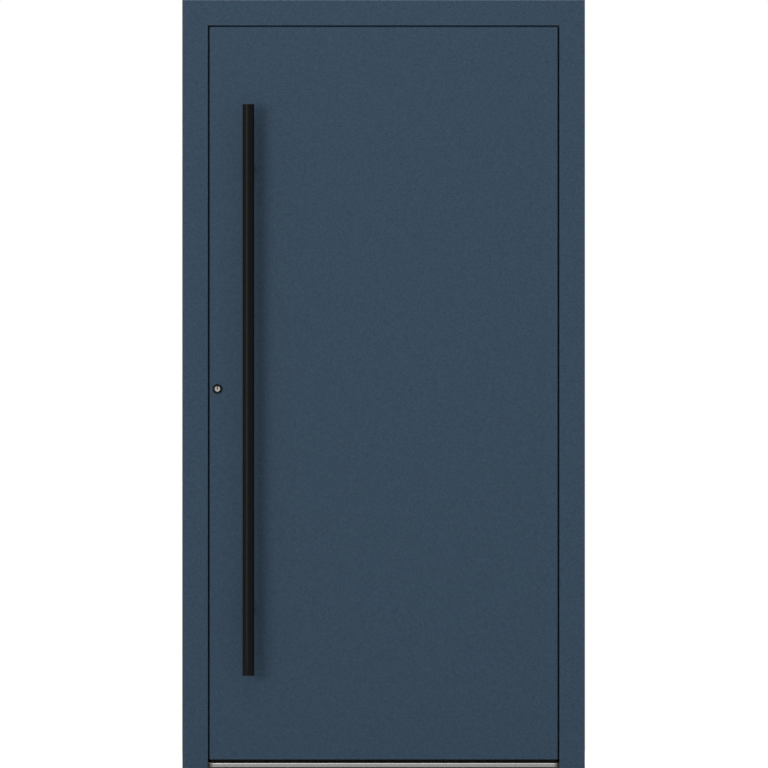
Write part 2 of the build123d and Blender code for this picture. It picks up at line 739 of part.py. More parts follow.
def leaf_bottom_rail():
    outer = bottom_rail_shell(SHEET_THICKNESS, LEAF_OUTER_V, LEAF_OUTER_V, -1)
    inner = bottom_rail_shell(LEAF_INNER_V, FRAME_DEPTH, LEAF_INNER_V, 1)
    return Compound([outer, inner])


def leaf_stile_thermal_breaks():
    bars = upright(insulating_bars(LEAF_BARS, LEAF_OUTER_V, LEAF_INNER_V), LEAF_BOTTOM)
    return Compound([bars, other_side(bars)])


def leaf_rail_thermal_breaks():
    top = crossbar(insulating_bars(LEAF_BARS, LEAF_OUTER_V, LEAF_INNER_V))
    section = insulating_bars(bottom_rail_bars(), LEAF_OUTER_V, LEAF_INNER_V)
    return Compound([top, sill(section, PANEL_HALF_WIDTH, LEAF_BOTTOM)])


def bead_section():
    """A hollow bead from the profile's edge inwards, chamfered on its visible corner."""
    solid = region(0, BEAD_WIDTH, BEAD_FRONT_V, FRAME_DEPTH)
    corner = solid.vertices().sort_by(Axis.Y)[-2:].sort_by(Axis.X)[-1]
    outline = chamfer(corner, BEAD_CHAMFER)
    chamber = region(
        BEAD_WALL, BEAD_WIDTH - BEAD_WALL, BEAD_FRONT_V + BEAD_WALL, FRAME_DEPTH - BEAD_WALL
    )
    inner_corner = chamber.vertices().sort_by(Axis.Y)[-2:].sort_by(Axis.X)[-1]
    return outline - chamfer(inner_corner, BEAD_CHAMFER)


def strip_up(section, low, high):
    """A section carried up along the lock stile's inner edge."""
    foot = Plane(origin=(-PANEL_HALF_WIDTH, OUTER_Y, low), x_dir=(1, 0, 0), z_dir=(0, 0, 1))
    return extrude(foot * section, amount=high - low)


def strip_across_top(section):
    """A section carried across under the top rail, pointing down."""
    end = Plane(
        origin=(-PANEL_HALF_WIDTH, OUTER_Y, PANEL_TOP), x_dir=(0, 0, -1), z_dir=(1, 0, 0)
    )
    return extrude(end * section, amount=2 * PANEL_HALF_WIDTH)


def leaf_cross_beads():
    section = bead_section()
    return Compound([strip_across_top(section), sill(section, PANEL_HALF_WIDTH, PANEL_BOTTOM)])


def leaf_side_beads():
    side = strip_up(bead_section(), PANEL_BOTTOM + BEAD_WIDTH, PANEL_TOP - BEAD_WIDTH)
    return Compound([side, other_side(side)])


def leaf_bead_gaskets():
    """Flat gaskets between the panel's inner sheet and the beads."""
    inset = BEAD_WIDTH - BEAD_GASKET_WIDTH
    section = region(inset, BEAD_WIDTH, PANEL_REAR_V, BEAD_FRONT_V)
    end = BEAD_WIDTH + BEAD_GASKET_JOINT
    side = strip_up(section, PANEL_BOTTOM + end, PANEL_TOP - end)
    top = strip_across_top(section)
    bottom = sill(section, PANEL_HALF_WIDTH, PANEL_BOTTOM)
    return Compound([side, other_side(side), top, bottom])


def leaf_bottom_seals():
    """Brush strips under the leaf's outer and inner shells, over the whole width of each."""
    low = THRESHOLD_HEIGHT + BOTTOM_SEAL_CLEARANCE
    strips = []
    for v, edge_u in zip(BOTTOM_SEAL_PLACES, (LEAF_EDGE_U, LEG_EDGE_U)):
        half = HALF_WIDTH - edge_u - BOTTOM_SEAL_END_GAP
        y = OUTER_Y + v
        strips.append(block(-half, half, y, y + BOTTOM_SEAL_THICKNESS, low, LEAF_BOTTOM))
    return Compound(strips)


def handle_bar(radius):
    """A cylinder along the pull handle's axis."""
    low = HANDLE_CENTRE_HEIGHT - HANDLE_LENGTH / 2
    return along_z(Pos(HANDLE_X, HANDLE_Y) * Circle(radius), low, low + HANDLE_LENGTH)


def pull_handle_caps():
    """Plugs that close the tube flush with its ends."""
    low = HANDLE_CENTRE_HEIGHT - HANDLE_LENGTH / 2
    high = low + HANDLE_LENGTH
    disc = Pos(HANDLE_X, HANDLE_Y) * Circle(HANDLE_DIAMETER / 2 - HANDLE_WALL)
    lower = along_z(disc, low, low + HANDLE_CAP_THICKNESS)
    return Compound([lower, along_z(disc, high - HANDLE_CAP_THICKNESS, high)])


def pull_handle_tube():
    return handle_bar(HANDLE_DIAMETER / 2) - handle_bar(HANDLE_DIAMETER / 2 - HANDLE_WALL)


def pull_handle_supports():
    """Round posts with a foot on the sheet, hollowed at the tip to seat the tube."""
    supports = []
    for height in (
        HANDLE_CENTRE_HEIGHT - SUPPORT_SPACING / 2,
        HANDLE_CENTRE_HEIGHT + SUPPORT_SPACING / 2,
    ):
        place = Pos(HANDLE_X, height)
        post = along_y(place * Circle(SUPPORT_DIAMETER / 2), HANDLE_Y, OUTER_Y)
        foot = along_y(
            place * Circle(SUPPORT_FOOT_DIAMETER / 2), OUTER_Y - SUPPORT_FOOT_THICKNESS, OUTER_Y
        )
        supports.append(post + foot - handle_bar(HANDLE_DIAMETER / 2 + SADDLE_FIT))
    return Compound(supports)


def outside_cylinder_ring():
    """Black ring round the cylinder's nose, chamfered outside, with a lip over the nose's rim."""
    front = OUTER_Y - RING_PROUD
    disc = along_y(at_cylinder(Circle(RING_DIAMETER / 2)), front, OUTER_Y)
    rim = disc.edges().filter_by(GeomType.CIRCLE).group_by(Axis.Y)[0]
    opening = along_y(at_cylinder(Circle(RING_OPENING / 2)), front, OUTER_Y)
    nose_room = at_cylinder(Circle(CYLINDER_DIAMETER / 2 + RING_FIT))
    return chamfer(rim, RING_CHAMFER) - opening - along_y(nose_room, front + RING_LIP, OUTER_Y)


def plug_bore(y0, y1):
    return along_y(at_cylinder(Circle(PLUG_DIAMETER / 2 + PLUG_FIT)), y0, y1)


def cylinder_housing():
    """Profile cylinder: a round nose outside, and a round body with a stem inside the leaf."""
    outer_end = OUTER_Y - CYLINDER_PROUD
    inner_end = INNER_Y + ROSE_THICKNESS
    nose = along_y(at_cylinder(Circle(CYLINDER_DIAMETER / 2)), outer_end, OUTER_Y + SHEET_THICKNESS)
    body = along_y(euro_profile(0), OUTER_Y + SHEET_THICKNESS, inner_end)
    housing = nose + body
    housing -= plug_bore(outer_end, outer_end + PLUG_LENGTH + PLUG_END_GAP)
    return housing - plug_bore(inner_end - PLUG_LENGTH - PLUG_END_GAP, inner_end)


def keyway(y0, y1):
    """The slot for the key, from just below the plug's axis up through its side."""
    half = KEYWAY_WIDTH / 2
    slot = region(-half, half, -KEYWAY_DROP, PLUG_DIAMETER)
    return along_y(at_cylinder(slot), y0, y1)


def outside_cylinder_plug():
    end = OUTER_Y - CYLINDER_PROUD
    plug = along_y(at_cylinder(Circle(PLUG_DIAMETER / 2)), end, end + PLUG_LENGTH)
    return plug - keyway(end, end + KEYWAY_DEPTH)


def inside_cylinder_plug():
    end = INNER_Y + ROSE_THICKNESS
    plug = along_y(at_cylinder(Circle(PLUG_DIAMETER / 2)), end - PLUG_LENGTH, end)
    return plug - keyway(end - KEYWAY_DEPTH, end)


def rose(section_at):
    """A round rose on the leaf's inner face."""
    disc = along_y(section_at(Circle(ROSE_DIAMETER / 2)), INNER_Y, INNER_Y + ROSE_THICKNESS)
    rim = disc.edges().filter_by(GeomType.CIRCLE).group_by(Axis.Y)[-1]
    return chamfer(rim, ROSE_CHAMFER)


def inside_cylinder_rose():
    return rose(at_cylinder) - along_y(euro_profile(RING_FIT), INNER_Y, INNER_Y + ROSE_THICKNESS)


def inside_lever():
    """A round lever that leaves its rose, bends once and points towards the hinges."""
    start = (CYLINDER_X, INNER_Y + ROSE_THICKNESS, LEVER_HEIGHT)
    bend = (CYLINDER_X, INNER_Y + LEVER_PROJECTION, LEVER_HEIGHT)
    end = (CYLINDER_X + LEVER_LENGTH, INNER_Y + LEVER_PROJECTION, LEVER_HEIGHT)
    path = FilletPolyline(start, bend, end, radius=LEVER_BEND)
    return sweep(Plane(origin=start, z_dir=(0, 1, 0)) * Circle(LEVER_DIAMETER / 2), path=path)


# Every piece by the name of its node
pieces = {
    "lock_jamb_outer_shell": upright(frame_outer_section(), 0),
    "lock_jamb_inner_shell": lock_jamb_inner_shell(),
    "hinge_jamb_outer_shell": other_side(upright(frame_outer_section(), 0)),
    "hinge_jamb_inner_shell": hinge_jamb_inner_shell(),
    "head_outer_shell": crossbar(frame_outer_section()),
    "head_inner_shell": crossbar(frame_inner_section()),
    "jamb_thermal_breaks": jamb_thermal_breaks(),
    "head_thermal_break": crossbar(frame_break_section()),
    "jamb_gaskets": jamb_gaskets(),
    "head_gaskets": crossbar(rebate_gasket_sections()),
    "threshold_outer_rail": threshold_outer_rail(),
    "threshold_inner_rail": threshold_inner_rail(),
    "threshold_thermal_break": threshold_thermal_break(),
    "threshold_base": threshold_base(),
    "threshold_end_blocks": threshold_end_blocks(),
    "strike_plates": strike_plates(),
    "hinge_frame_knuckles": hinge_frame_knuckles(),
    "hinge_pins": hinge_pins(),
    "leaf_outer_sheet": leaf_outer_sheet(),
    "leaf_foam_core": leaf_foam_core(),
    "leaf_inner_sheet": leaf_inner_sheet(),
    "leaf_lock_stile": leaf_lock_stile(),
    "leaf_hinge_stile": leaf_hinge_stile(),
    "leaf_top_rail": leaf_top_rail(),
    "leaf_bottom_rail": leaf_bottom_rail(),
    "leaf_stile_thermal_breaks": leaf_stile_thermal_breaks(),
    "leaf_rail_thermal_breaks": leaf_rail_thermal_breaks(),
    "leaf_side_beads": leaf_side_beads(),
    "leaf_cross_beads": leaf_cross_beads(),
    "leaf_bead_gaskets": leaf_bead_gaskets(),
    "leaf_bottom_seals": leaf_bottom_seals(),
    "lock_faceplate": lock_faceplate(),
    "lock_bolts": lock_bolts(),
    "lock_cases": lock_cases(),
    "hinge_leaf_knuckles": hinge_leaf_knuckles(),
    "pull_handle_tube": pull_handle_tube(),
    "pull_handle_caps": pull_handle_caps(),
    "pull_handle_supports": pull_handle_supports(),
    "outside_cylinder_ring": outside_cylinder_ring(),
    "cylinder_housing": cylinder_housing(),
    "outside_cylinder_plug": outside_cylinder_plug(),
    "inside_cylinder_plug": inside_cylinder_plug(),
    "inside_cylinder_rose": inside_cylinder_rose(),
    "inside_lever_rose": rose(at_lever),
    "inside_lever": inside_lever(),
}

os.makedirs("parts", exist_ok=True)
for name, shape in pieces.items():
    export_step(shape, f"parts/{name}.step")
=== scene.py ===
import json
import math

import bmesh
import bpy
import numpy as np
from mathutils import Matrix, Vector


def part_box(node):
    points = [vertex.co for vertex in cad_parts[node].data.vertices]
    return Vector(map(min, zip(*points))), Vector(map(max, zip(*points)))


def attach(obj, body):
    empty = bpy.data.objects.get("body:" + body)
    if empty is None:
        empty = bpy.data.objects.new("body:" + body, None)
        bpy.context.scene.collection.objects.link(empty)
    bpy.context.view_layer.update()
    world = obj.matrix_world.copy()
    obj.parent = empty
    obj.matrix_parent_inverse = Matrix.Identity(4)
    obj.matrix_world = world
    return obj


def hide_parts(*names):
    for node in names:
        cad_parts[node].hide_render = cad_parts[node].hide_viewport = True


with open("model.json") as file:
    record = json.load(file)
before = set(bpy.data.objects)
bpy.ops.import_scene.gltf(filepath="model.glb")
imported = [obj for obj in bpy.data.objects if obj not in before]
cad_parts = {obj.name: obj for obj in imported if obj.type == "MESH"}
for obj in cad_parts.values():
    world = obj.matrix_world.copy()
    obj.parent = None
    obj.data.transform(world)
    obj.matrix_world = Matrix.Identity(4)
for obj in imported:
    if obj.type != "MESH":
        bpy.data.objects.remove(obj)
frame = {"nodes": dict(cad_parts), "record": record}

# Looks of an aluminium front door: its finishes, fasteners, brush seals, light and camera.
# The outer face looks along -Y, +X is to the right seen from outside, and +Z is up.
MM = 0.001
TURN = 2 * math.pi
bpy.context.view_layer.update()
chance = np.random.default_rng(11)

# Angles from which shading creases and edges are rounded, and up to which faces count as flat
CREASE_ANGLE = math.radians(35)
ROUNDED_ANGLE = math.radians(40)
FLAT_ANGLE = math.radians(0.5)
# Distance at which points are one point, length at which an edge is none, and a broken edge's width
SAME_POINT = 1e-7
NO_LENGTH = 1e-8
BROKEN_EDGE = 0.3 * MM

# Darkest and lightest tone of each finish, and the one tone of painted shade on the threshold
PAINT = ("#233443", "#374b5d")
BLACK_COAT = ("#0a0a0a", "#101010")
SILL_FACE = ("#757371", "#8b8987")
# The threshold nose's tones are a painted highlight along its rounded nose.
SILL_HIGHLIGHT = ("#bdbbb8", "#d3d1ce")
HINGE_SILVER = ("#9c9c99", "#b4b4b1")
STAINLESS = ("#908c86", "#b5b1aa")
NICKEL = ("#8b8882", "#a19e97")
# The next tones are painted shade, for keyways and screw recesses.
PAINTED_SHADE_TONES = ("#0b0a09", "#1b1917")
ZINC = ("#b0a88f", "#a8abae")
POLYAMIDE = ("#111112", "#1f1f20")
RUBBER = ("#0c0c0c", "#171717")
FOAM = ("#b9a672", "#d8c896")
BRISTLE = ("#0b0b0b", "#1c1b1a")
PAINTED_SILL_SHADE = "#141312"
# The surround and the paper floor
WHITE = "#ffffff"


def linear(code):
    """An sRGB hex colour as linear red, green, blue and alpha."""
    share = np.array([int(code[i : i + 2], 16) for i in (1, 3, 5)]) / 255
    curve = np.where(share <= 0.04045, share / 12.92, ((share + 0.055) / 1.055) ** 2.4)
    return (*map(float, curve), 1.0)


# Node trees
def add(tree, kind, inputs=(), **settings):
    """Adds a node with its settings. A socket gets a value, a node's first output, or the output
    that a (node, output) pair names."""
    node = tree.nodes.new(kind)
    for key, value in settings.items():
        setattr(node, key, value)
    for key, value in dict(inputs).items():
        source, output = value if isinstance(value, tuple) and len(value) == 2 else (value, 0)
        if isinstance(source, bpy.types.Node):
            tree.links.new(source.outputs[output], node.inputs[key])
        else:
            node.inputs[key].default_value = value
    return node


def start(name):
    """An empty material and the object coordinates that its patterns are drawn on."""
    material = bpy.data.materials.new(name)
    material.use_nodes = True
    tree = material.node_tree
    tree.nodes.clear()
    return material, tree, (add(tree, "ShaderNodeTexCoord"), "Object")


def coat(tree, colour, roughness, relief, specular=0.5, metallic=0.0):
    """Ends a material in a Principled surface. Roughness is a pattern and what it becomes where that
    is 0 and 1. Relief is a pattern, its strength and its depth in millimetres."""
    pattern, low, high = roughness
    rough = add(tree, "ShaderNodeMapRange", {"Value": pattern, "To Min": low, "To Max": high})
    height, strength, depth_mm = relief
    inputs = {"Height": height, "Strength": strength, "Distance": depth_mm * MM}
    bump = add(tree, "ShaderNodeBump", inputs)
    inputs = {
        "Base Color": colour,
        "Metallic": metallic,
        "Roughness": rough,
        "Specular IOR Level": specular,
        "Normal": bump,
    }
    surface = add(tree, "ShaderNodeBsdfPrincipled", inputs)
    add(tree, "ShaderNodeOutputMaterial", {"Surface": surface})


def metal_coat(tree, colour, roughness, pattern, strength=0.15):
    """Ends a material as bare metal, with its pattern as a relief of 0.02 mm."""
    coat(tree, colour, roughness, (pattern, strength, 0.02), metallic=1.0)


def tones(tree, pattern, colours, low=0.3, high=0.7):
    """A finish's darkest to lightest tone, as a pattern goes from low to high. The colours of a Mix
    node go in at its sockets 6 and 7 and come out at 2, here and below."""
    darkest, lightest = (linear(code) for code in colours)
    share = add(tree, "ShaderNodeMapRange", {"Value": pattern, "From Min": low, "From Max": high})
    inputs = {"Factor": share, 6: darkest, 7: lightest}
    return (add(tree, "ShaderNodeMix", inputs, data_type="RGBA"), 2)


def metal_tones(tree, pattern, colours):
    """The tones of a metal, spread over more of the pattern than other finishes' tones are."""
    return tones(tree, pattern, colours, 0.25, 0.75)


def fine_texture_powder_coat():
    """Polyester powder coat with a fine sandy texture: matt blue-grey with a faint grain."""
    material, tree, place = start("fine_texture_powder_coat")
    # The real grain is about 0.4 mm. It is drawn from 2.6 mm down, so that it shows from afar.
    inputs = {"Vector": place, "Scale": 1 / (2.6 * MM), "Detail": 4.0, "Roughness": 0.8}
    grain = add(tree, "ShaderNodeTexNoise", inputs)
    inputs = {"Vector": place, "Scale": 1 / (0.6 * MM), "Detail": 1.0}
    sand = add(tree, "ShaderNodeTexNoise", inputs)
    colour = tones(tree, grain, PAINT, 0.37, 0.63)
    coat(tree, colour, roughness=(grain, 0.58, 0.7), relief=(sand, 0.4, 0.06), specular=0.15)
    return material


def satin_black_coat():
    """Black powder coat on stainless tube: a soft broad highlight and almost no colour."""
    material, tree, place = start("satin_black_coat")
    skin = add(tree, "ShaderNodeTexNoise", {"Vector": place, "Scale": 1 / (1.2 * MM)})
    colour = tones(tree, skin, BLACK_COAT)
    coat(tree, colour, roughness=(skin, 0.33, 0.4), relief=(skin, 0.12, 0.03), specular=0.055)
    return material


def drawn_lines(tree, place, along, stretch, pitch_mm, detail=3.0, roughness=0.6):
    """Fine lines along one axis: noise on coordinates that are drawn out along it."""
    scale = [1.0, 1.0, 1.0]
    scale["XYZ".index(along)] = 1 / stretch
    inputs = {
        "Vector": add(tree, "ShaderNodeMapping", {"Vector": place, "Scale": scale}),
        "Scale": 1 / (pitch_mm * MM),
        "Detail": detail,
        "Roughness": roughness,
    }
    return add(tree, "ShaderNodeTexNoise", inputs)


def drawn_metal(name, colours, along, pitch_mm, roughness):
    """Metal with fine lines along one axis, from the die or the belt that finished it, and a gloss
    that changes a little over patches of 60 mm."""
    material, tree, place = start(name)
    lines = drawn_lines(tree, place, along, 120.0, pitch_mm)
    handled = add(tree, "ShaderNodeTexNoise", {"Vector": place, "Scale": 1 / (60.0 * MM)})
    rough = (handled, roughness - 0.04, roughness + 0.05)
    metal_coat(tree, metal_tones(tree, lines, colours), rough, lines, strength=0.2)
    return material


def anodised_threshold():
    """Natural anodised aluminium with die lines along the rail: satin grey, with a painted highlight
    along its nose, and painted shade at its foot and in the corners beside the jambs. The painted
    highlight starts 12.2 to 12.9 mm up. The painted shade fades out 3.5 to 5 mm up, and has gone 11 mm
    from the rail's ends."""
    material, tree, place = start("natural_anodised_aluminium")
    lines = drawn_lines(tree, place, "X", 120.0, 1.0)
    axes = add(tree, "ShaderNodeSeparateXYZ", {0: place})
    # Painted highlight: the nose turns paler, and smoother, 12.2 to 12.9 mm up.
    inputs = {"Value": (axes, "Z"), "From Min": 12.2 * MM, "From Max": 12.9 * MM}
    painted_nose_highlight = add(tree, "ShaderNodeMapRange", inputs)
    face = metal_tones(tree, lines, SILL_FACE)
    nose = metal_tones(tree, lines, SILL_HIGHLIGHT)
    inputs = {"Factor": painted_nose_highlight, 6: face, 7: nose}
    face_and_highlight = (add(tree, "ShaderNodeMix", inputs, data_type="RGBA"), 2)
    # Painted shade in the corners beside the jambs and along the rail's foot, mixed over the colour.
    from_middle = add(tree, "ShaderNodeMath", {0: (axes, "X")}, operation="ABSOLUTE")
    inputs = {"Value": from_middle, "From Min": SILL_END - 11 * MM, "From Max": SILL_END + 2 * MM}
    corner = add(tree, "ShaderNodeMapRange", inputs)
    inputs = {"Value": (axes, "Z"), "From Min": 5.0 * MM, "From Max": 3.5 * MM, "To Max": 0.8}
    foot = add(tree, "ShaderNodeMapRange", inputs)
    painted_shade_mask = add(tree, "ShaderNodeMath", {0: corner, 1: foot}, operation="MAXIMUM")
    inputs = {"Factor": painted_shade_mask, 6: face_and_highlight, 7: linear(PAINTED_SILL_SHADE)}
    colour = (add(tree, "ShaderNodeMix", inputs, data_type="RGBA"), 2)
    metal_coat(tree, colour, (painted_nose_highlight, 0.45, 0.33), lines, strength=0.2)
    return material


def lathe_rings(tree, place, centre_x, centre_z):
    """Fine rings round an axis along Y: noise read along the distance from that axis."""
    inputs = {
        "Vector": place,
        "Location": (-centre_x, 0.0, -centre_z),
        "Scale": (1.0, 0.0, 1.0),
    }
    centred = add(tree, "ShaderNodeMapping", inputs)
    radius = add(tree, "ShaderNodeVectorMath", {0: centred}, operation="LENGTH")
    # Tool marks of about 0.15 mm are drawn at 0.5 mm, so that they show.
    inputs = {"W": (radius, "Value"), "Scale": 1 / (0.5 * MM), "Detail": 2.0}
    return add(tree, "ShaderNodeTexNoise", inputs, noise_dimensions="1D")


def turned_metal(name, colours, centre_x, centre_z, roughness):
    """Metal faced on a lathe, which shows as fine rings."""
    material, tree, place = start(name)
    rings = lathe_rings(tree, place, centre_x, centre_z)
    rough = (rings, roughness - 0.03, roughness + 0.05)
    metal_coat(tree, metal_tones(tree, rings, colours), rough, rings)
    return material


def nickel_with_painted_keyway_shade():
    """Satin nickel plate faced on a lathe, with painted shade over the keyway that carries its dark
    slot up to the ring. The painted shade fades out 0.8 to 1.8 mm beside the keyway's middle, and in 5
    to 6 mm above the axis."""
    material, tree, place = start("satin_nickel_plate")
    rings = lathe_rings(tree, place, CYLINDER_X, CYLINDER_Z)
    axes = add(tree, "ShaderNodeSeparateXYZ", {0: place})
    # Painted shade over the keyway, from its slot up to the ring.
    aside = add(tree, "ShaderNodeMath", {0: (axes, "X"), 1: CYLINDER_X}, operation="SUBTRACT")
    either_side = add(tree, "ShaderNodeMath", {0: aside}, operation="ABSOLUTE")
    inputs = {"Value": either_side, "From Min": 1.8 * MM, "From Max": 0.8 * MM}
    beside = add(tree, "ShaderNodeMapRange", inputs)
    fade_from, fade_to = CYLINDER_Z + 5 * MM, CYLINDER_Z + 6 * MM
    inputs = {"Value": (axes, "Z"), "From Min": fade_from, "From Max": fade_to}
    above = add(tree, "ShaderNodeMapRange", inputs)
    painted_keyway_shade = add(tree, "ShaderNodeMath", {0: beside, 1: above}, operation="MULTIPLY")
    plate, painted_shade_tone = metal_tones(tree, rings, NICKEL), tones(tree, rings, PAINTED_SHADE_TONES)
    inputs = {"Factor": painted_keyway_shade, 6: plate, 7: painted_shade_tone}
    colour = (add(tree, "ShaderNodeMix", inputs, data_type="RGBA"), 2)
    metal_coat(tree, colour, (rings, 0.31, 0.39), rings)
    return material


def metal_with_painted_recess_shade(name, colours, axis, bright, dark):
    """Metal that is clean at one place along an axis and darker further in, as painted shade in a
    recess.
    """
    material, tree, place = start(name)
    swirl = add(tree, "ShaderNodeTexNoise", {"Vector": place, "Scale": 1 / (0.7 * MM)})
    axes = add(tree, "ShaderNodeSeparateXYZ", {0: place})
    # Painted shade: the metal darkens from the bright place to the dark one.
    inputs = {"Value": (axes, axis), "From Min": bright, "From Max": dark}
    inside = add(tree, "ShaderNodeMapRange", inputs)
    metal, painted_shade_tone = metal_tones(tree, swirl, colours), tones(tree, swirl, PAINTED_SHADE_TONES)
    inputs = {"Factor": inside, 6: metal, 7: painted_shade_tone}
    colour = (add(tree, "ShaderNodeMix", inputs, data_type="RGBA"), 2)
    metal_coat(tree, colour, (inside, 0.34, 0.6), swirl)
    return material


def zinc_plate():
    """Electroplated zinc with a thin passivation: dull silver with faint yellow clouds."""
    material, tree, place = start("zinc_plated_steel")
    inputs = {"Vector": place, "Scale": 1 / (14.0 * MM), "Detail": 4.0, "Roughness": 0.6}
    clouds = add(tree, "ShaderNodeTexNoise", inputs)
    inputs = {"Vector": place, "Scale": 1 / (0.8 * MM), "Detail": 1.0}
    sparkle = add(tree, "ShaderNodeTexNoise", inputs)
    colour = tones(tree, clouds, ZINC)
    coat(tree, colour, roughness=(clouds, 0.34, 0.46), relief=(sparkle, 0.15, 0.03), metallic=1.0)
    return material


def extruded_polyamide():
    """Glass-fibre polyamide bar: matt black with pale fibre streaks along the bar."""
    material, tree, place = start("glass_fibre_polyamide")
    fibres = drawn_lines(tree, place, "Z", 25.0, 0.5, roughness=0.7)
    colour = tones(tree, fibres, POLYAMIDE, 0.35, 0.8)
    coat(tree, colour, roughness=(fibres, 0.5, 0.68), relief=(fibres, 0.3, 0.05), specular=0.2)
    return material


def sealing_rubber():
    """Extruded EPDM rubber: deep matt black with a little grey bloom."""
    material, tree, place = start("extruded_epdm_rubber")
    inputs = {"Vector": place, "Scale": 1 / (6.0 * MM), "Detail": 4.0, "Roughness": 0.6}
    bloom = add(tree, "ShaderNodeTexNoise", inputs)
    colour = tones(tree, bloom, RUBBER, 0.35, 0.75)
    coat(tree, colour, roughness=(bloom, 0.62, 0.78), relief=(bloom, 0.1, 0.05), specular=0.15)
    return material


def rigid_foam():
    """Cut polyurethane foam: pale yellow with cells of about half a millimetre, drawn at 1.2 mm."""
    material, tree, place = start("cut_polyurethane_foam")
    cells = add(tree, "ShaderNodeTexVoronoi", {"Vector": place, "Scale": 1 / (1.2 * MM)})
    colour = tones(tree, cells, FOAM, 0.0, 0.6)
    coat(tree, colour, roughness=(cells, 0.8, 0.95), relief=(cells, 0.6, 0.4))
    return material


def nylon_bristle():
    """Crimped polyamide filament: near black, each one catching a little light."""
    material, tree, place = start("crimped_polyamide_bristle")
    tone = drawn_lines(tree, place, "Z", 8.0, 1.0, detail=2.0, roughness=0.5)
    colour = tones(tree, tone, BRISTLE)
    coat(tree, colour, roughness=(tone, 0.45, 0.6), relief=(tone, 0.2, 0.05), specular=0.15)
    return material


# Shapes as arrays of points and faces
def grid_faces(rows, columns, round_rows=False, round_columns=False):
    """Four-cornered faces between neighbouring points of a grid of rows and columns."""
    row = np.arange(rows if round_rows else rows - 1)
    column = np.arange(columns if round_columns else columns - 1)
    row, column = np.meshgrid(row, column, indexing="ij")
    next_row, next_column = (row + 1) % rows, (column + 1) % columns
    corners = [
        row * columns + column,
        row * columns + next_column,
        next_row * columns + next_column,
        next_row * columns + column,
    ]
    return np.stack(corners, -1).reshape(-1, 4)


def many(points, faces):
    """A stack of like point sets as one shape: each copy's corner numbers follow the last copy's."""
    copies, count = points.shape[0], points.shape[1]
    shifted = faces[None] + (np.arange(copies) * count)[:, None, None]
    return points.reshape(-1, 3), shifted.reshape(-1, faces.shape[1])


def joined(*shapes):
    """Several shapes in one list of points and one of faces."""
    starts = np.cumsum([0] + [len(points) for points, faces in shapes])
    faces = [faces + first for (points, faces), first in zip(shapes, starts)]
    return np.concatenate([points for points, faces in shapes]), np.concatenate(faces)


def quarter_turn(count):
    """Angles spread evenly over a quarter turn."""
    return np.linspace(0, TURN / 4, count)


def turned(profile, centre, axis, steps=48, outline=None, twist=0.0):
    """A surface of revolution. Point k of the profile has radius r and height h, and at angle a it
    lies at centre + h * axis + r * (cos a * side + sin a * up). An outline is a reach at each angle
    and a point's number: from that point on, r is multiplied by the reach at a. Twist is an angle
    that turns each copy."""
    along = np.array(axis, float)
    upright = abs(along[2]) > 0.9
    helper = np.array([0.0, 1.0, 0.0] if upright else [0.0, 0.0, 1.0])
    side = np.cross(helper, along)
    up = np.cross(along, side)
    centre = np.atleast_2d(np.array(centre, float))
    profile = np.array(profile, float)
    angle = np.arange(steps) * TURN / steps
    radius = np.repeat(profile[None, :, 0], steps, 0)
    if outline is not None:
        reach, first = outline
        radius[:, first:] *= reach(angle)[:, None]
    turning = angle + np.broadcast_to(twist, len(centre))[:, None]
    ring = np.cos(turning)[..., None] * side + np.sin(turning)[..., None] * up
    local = ring[:, :, None] * radius[None, ..., None] + profile[:, 1, None] * along
    points = (centre[:, None, None] + local).reshape(len(centre), -1, 3)
    return many(points, grid_faces(steps, len(profile), round_rows=True))


def straight_bar(outline, axis, begin, end):
    """A convex outline carried along an axis. The outline gives the other two coordinates in order.
    The first and last rows are drawn together to the outline's middle, which closes the ends."""
    outline = np.array(outline, float)
    middle = np.broadcast_to(outline.mean(0), outline.shape)
    points = np.empty((4, len(outline), 3))
    points[..., axis] = np.array([begin, begin, end, end])[:, None]
    points[..., [i for i in range(3) if i != axis]] = np.stack([middle, outline, outline, middle])
    return points.reshape(-1, 3), grid_faces(4, len(outline), round_columns=True)


def carried_round(line, radii, height, steps=48):
    """A round bar along a path in a level plane. Point (i, a) lies at path point i, plus its radius
    times cos a along the path's normal and sin a upwards."""
    heading = np.gradient(line, axis=0)
    heading[0], heading[-1] = heading[1], heading[-2]
    heading /= np.linalg.norm(heading, axis=1)[:, None]
    normal = np.column_stack([-heading[:, 1], heading[:, 0]])
    angle = np.arange(steps) * TURN / steps
    flat = line[:, None] + (radii[:, None] * np.cos(angle))[..., None] * normal[:, None]
    level = height + radii[:, None] * np.sin(angle)
    points = np.concatenate([flat, level[..., None]], -1)
    return points.reshape(-1, 3), grid_faces(len(line), steps, round_columns=True)


def rectangle(left, right, bottom, top):
    """The four corners of an upright rectangle, in order round it."""
    return [(left, bottom), (right, bottom), (right, top), (left, top)]


def hairlines(segments, face_y, width, rise):
    """Thin bars along joints on an upright face. A bar's corners are its two ends in x and z, half
    its width to each side of its line, and from just behind the face to just in front of it."""
    begin, end = np.moveaxis(np.array(segments, float), 1, 0)
    along = (end - begin) / np.linalg.norm(end - begin, axis=1)[:, None]
    side = np.column_stack([-along[:, 1], along[:, 0]]) * width / 2
    corners = np.stack([begin - side, begin + side, end + side, end - side], 1)
    points = np.empty((len(begin), 2, 4, 3))
    points[..., [0, 2]] = corners[:, None]
    points[..., 1] = (face_y + np.array([-rise, rise]))[:, None]
    back_and_front = [(0, 1, 2, 3), (4, 7, 6, 5)]
    sides = [(0, 4, 5, 1), (1, 5, 6, 2), (2, 6, 7, 3), (3, 7, 4, 0)]
    return many(points.reshape(len(begin), 8, 3), np.array(back_and_front + sides))


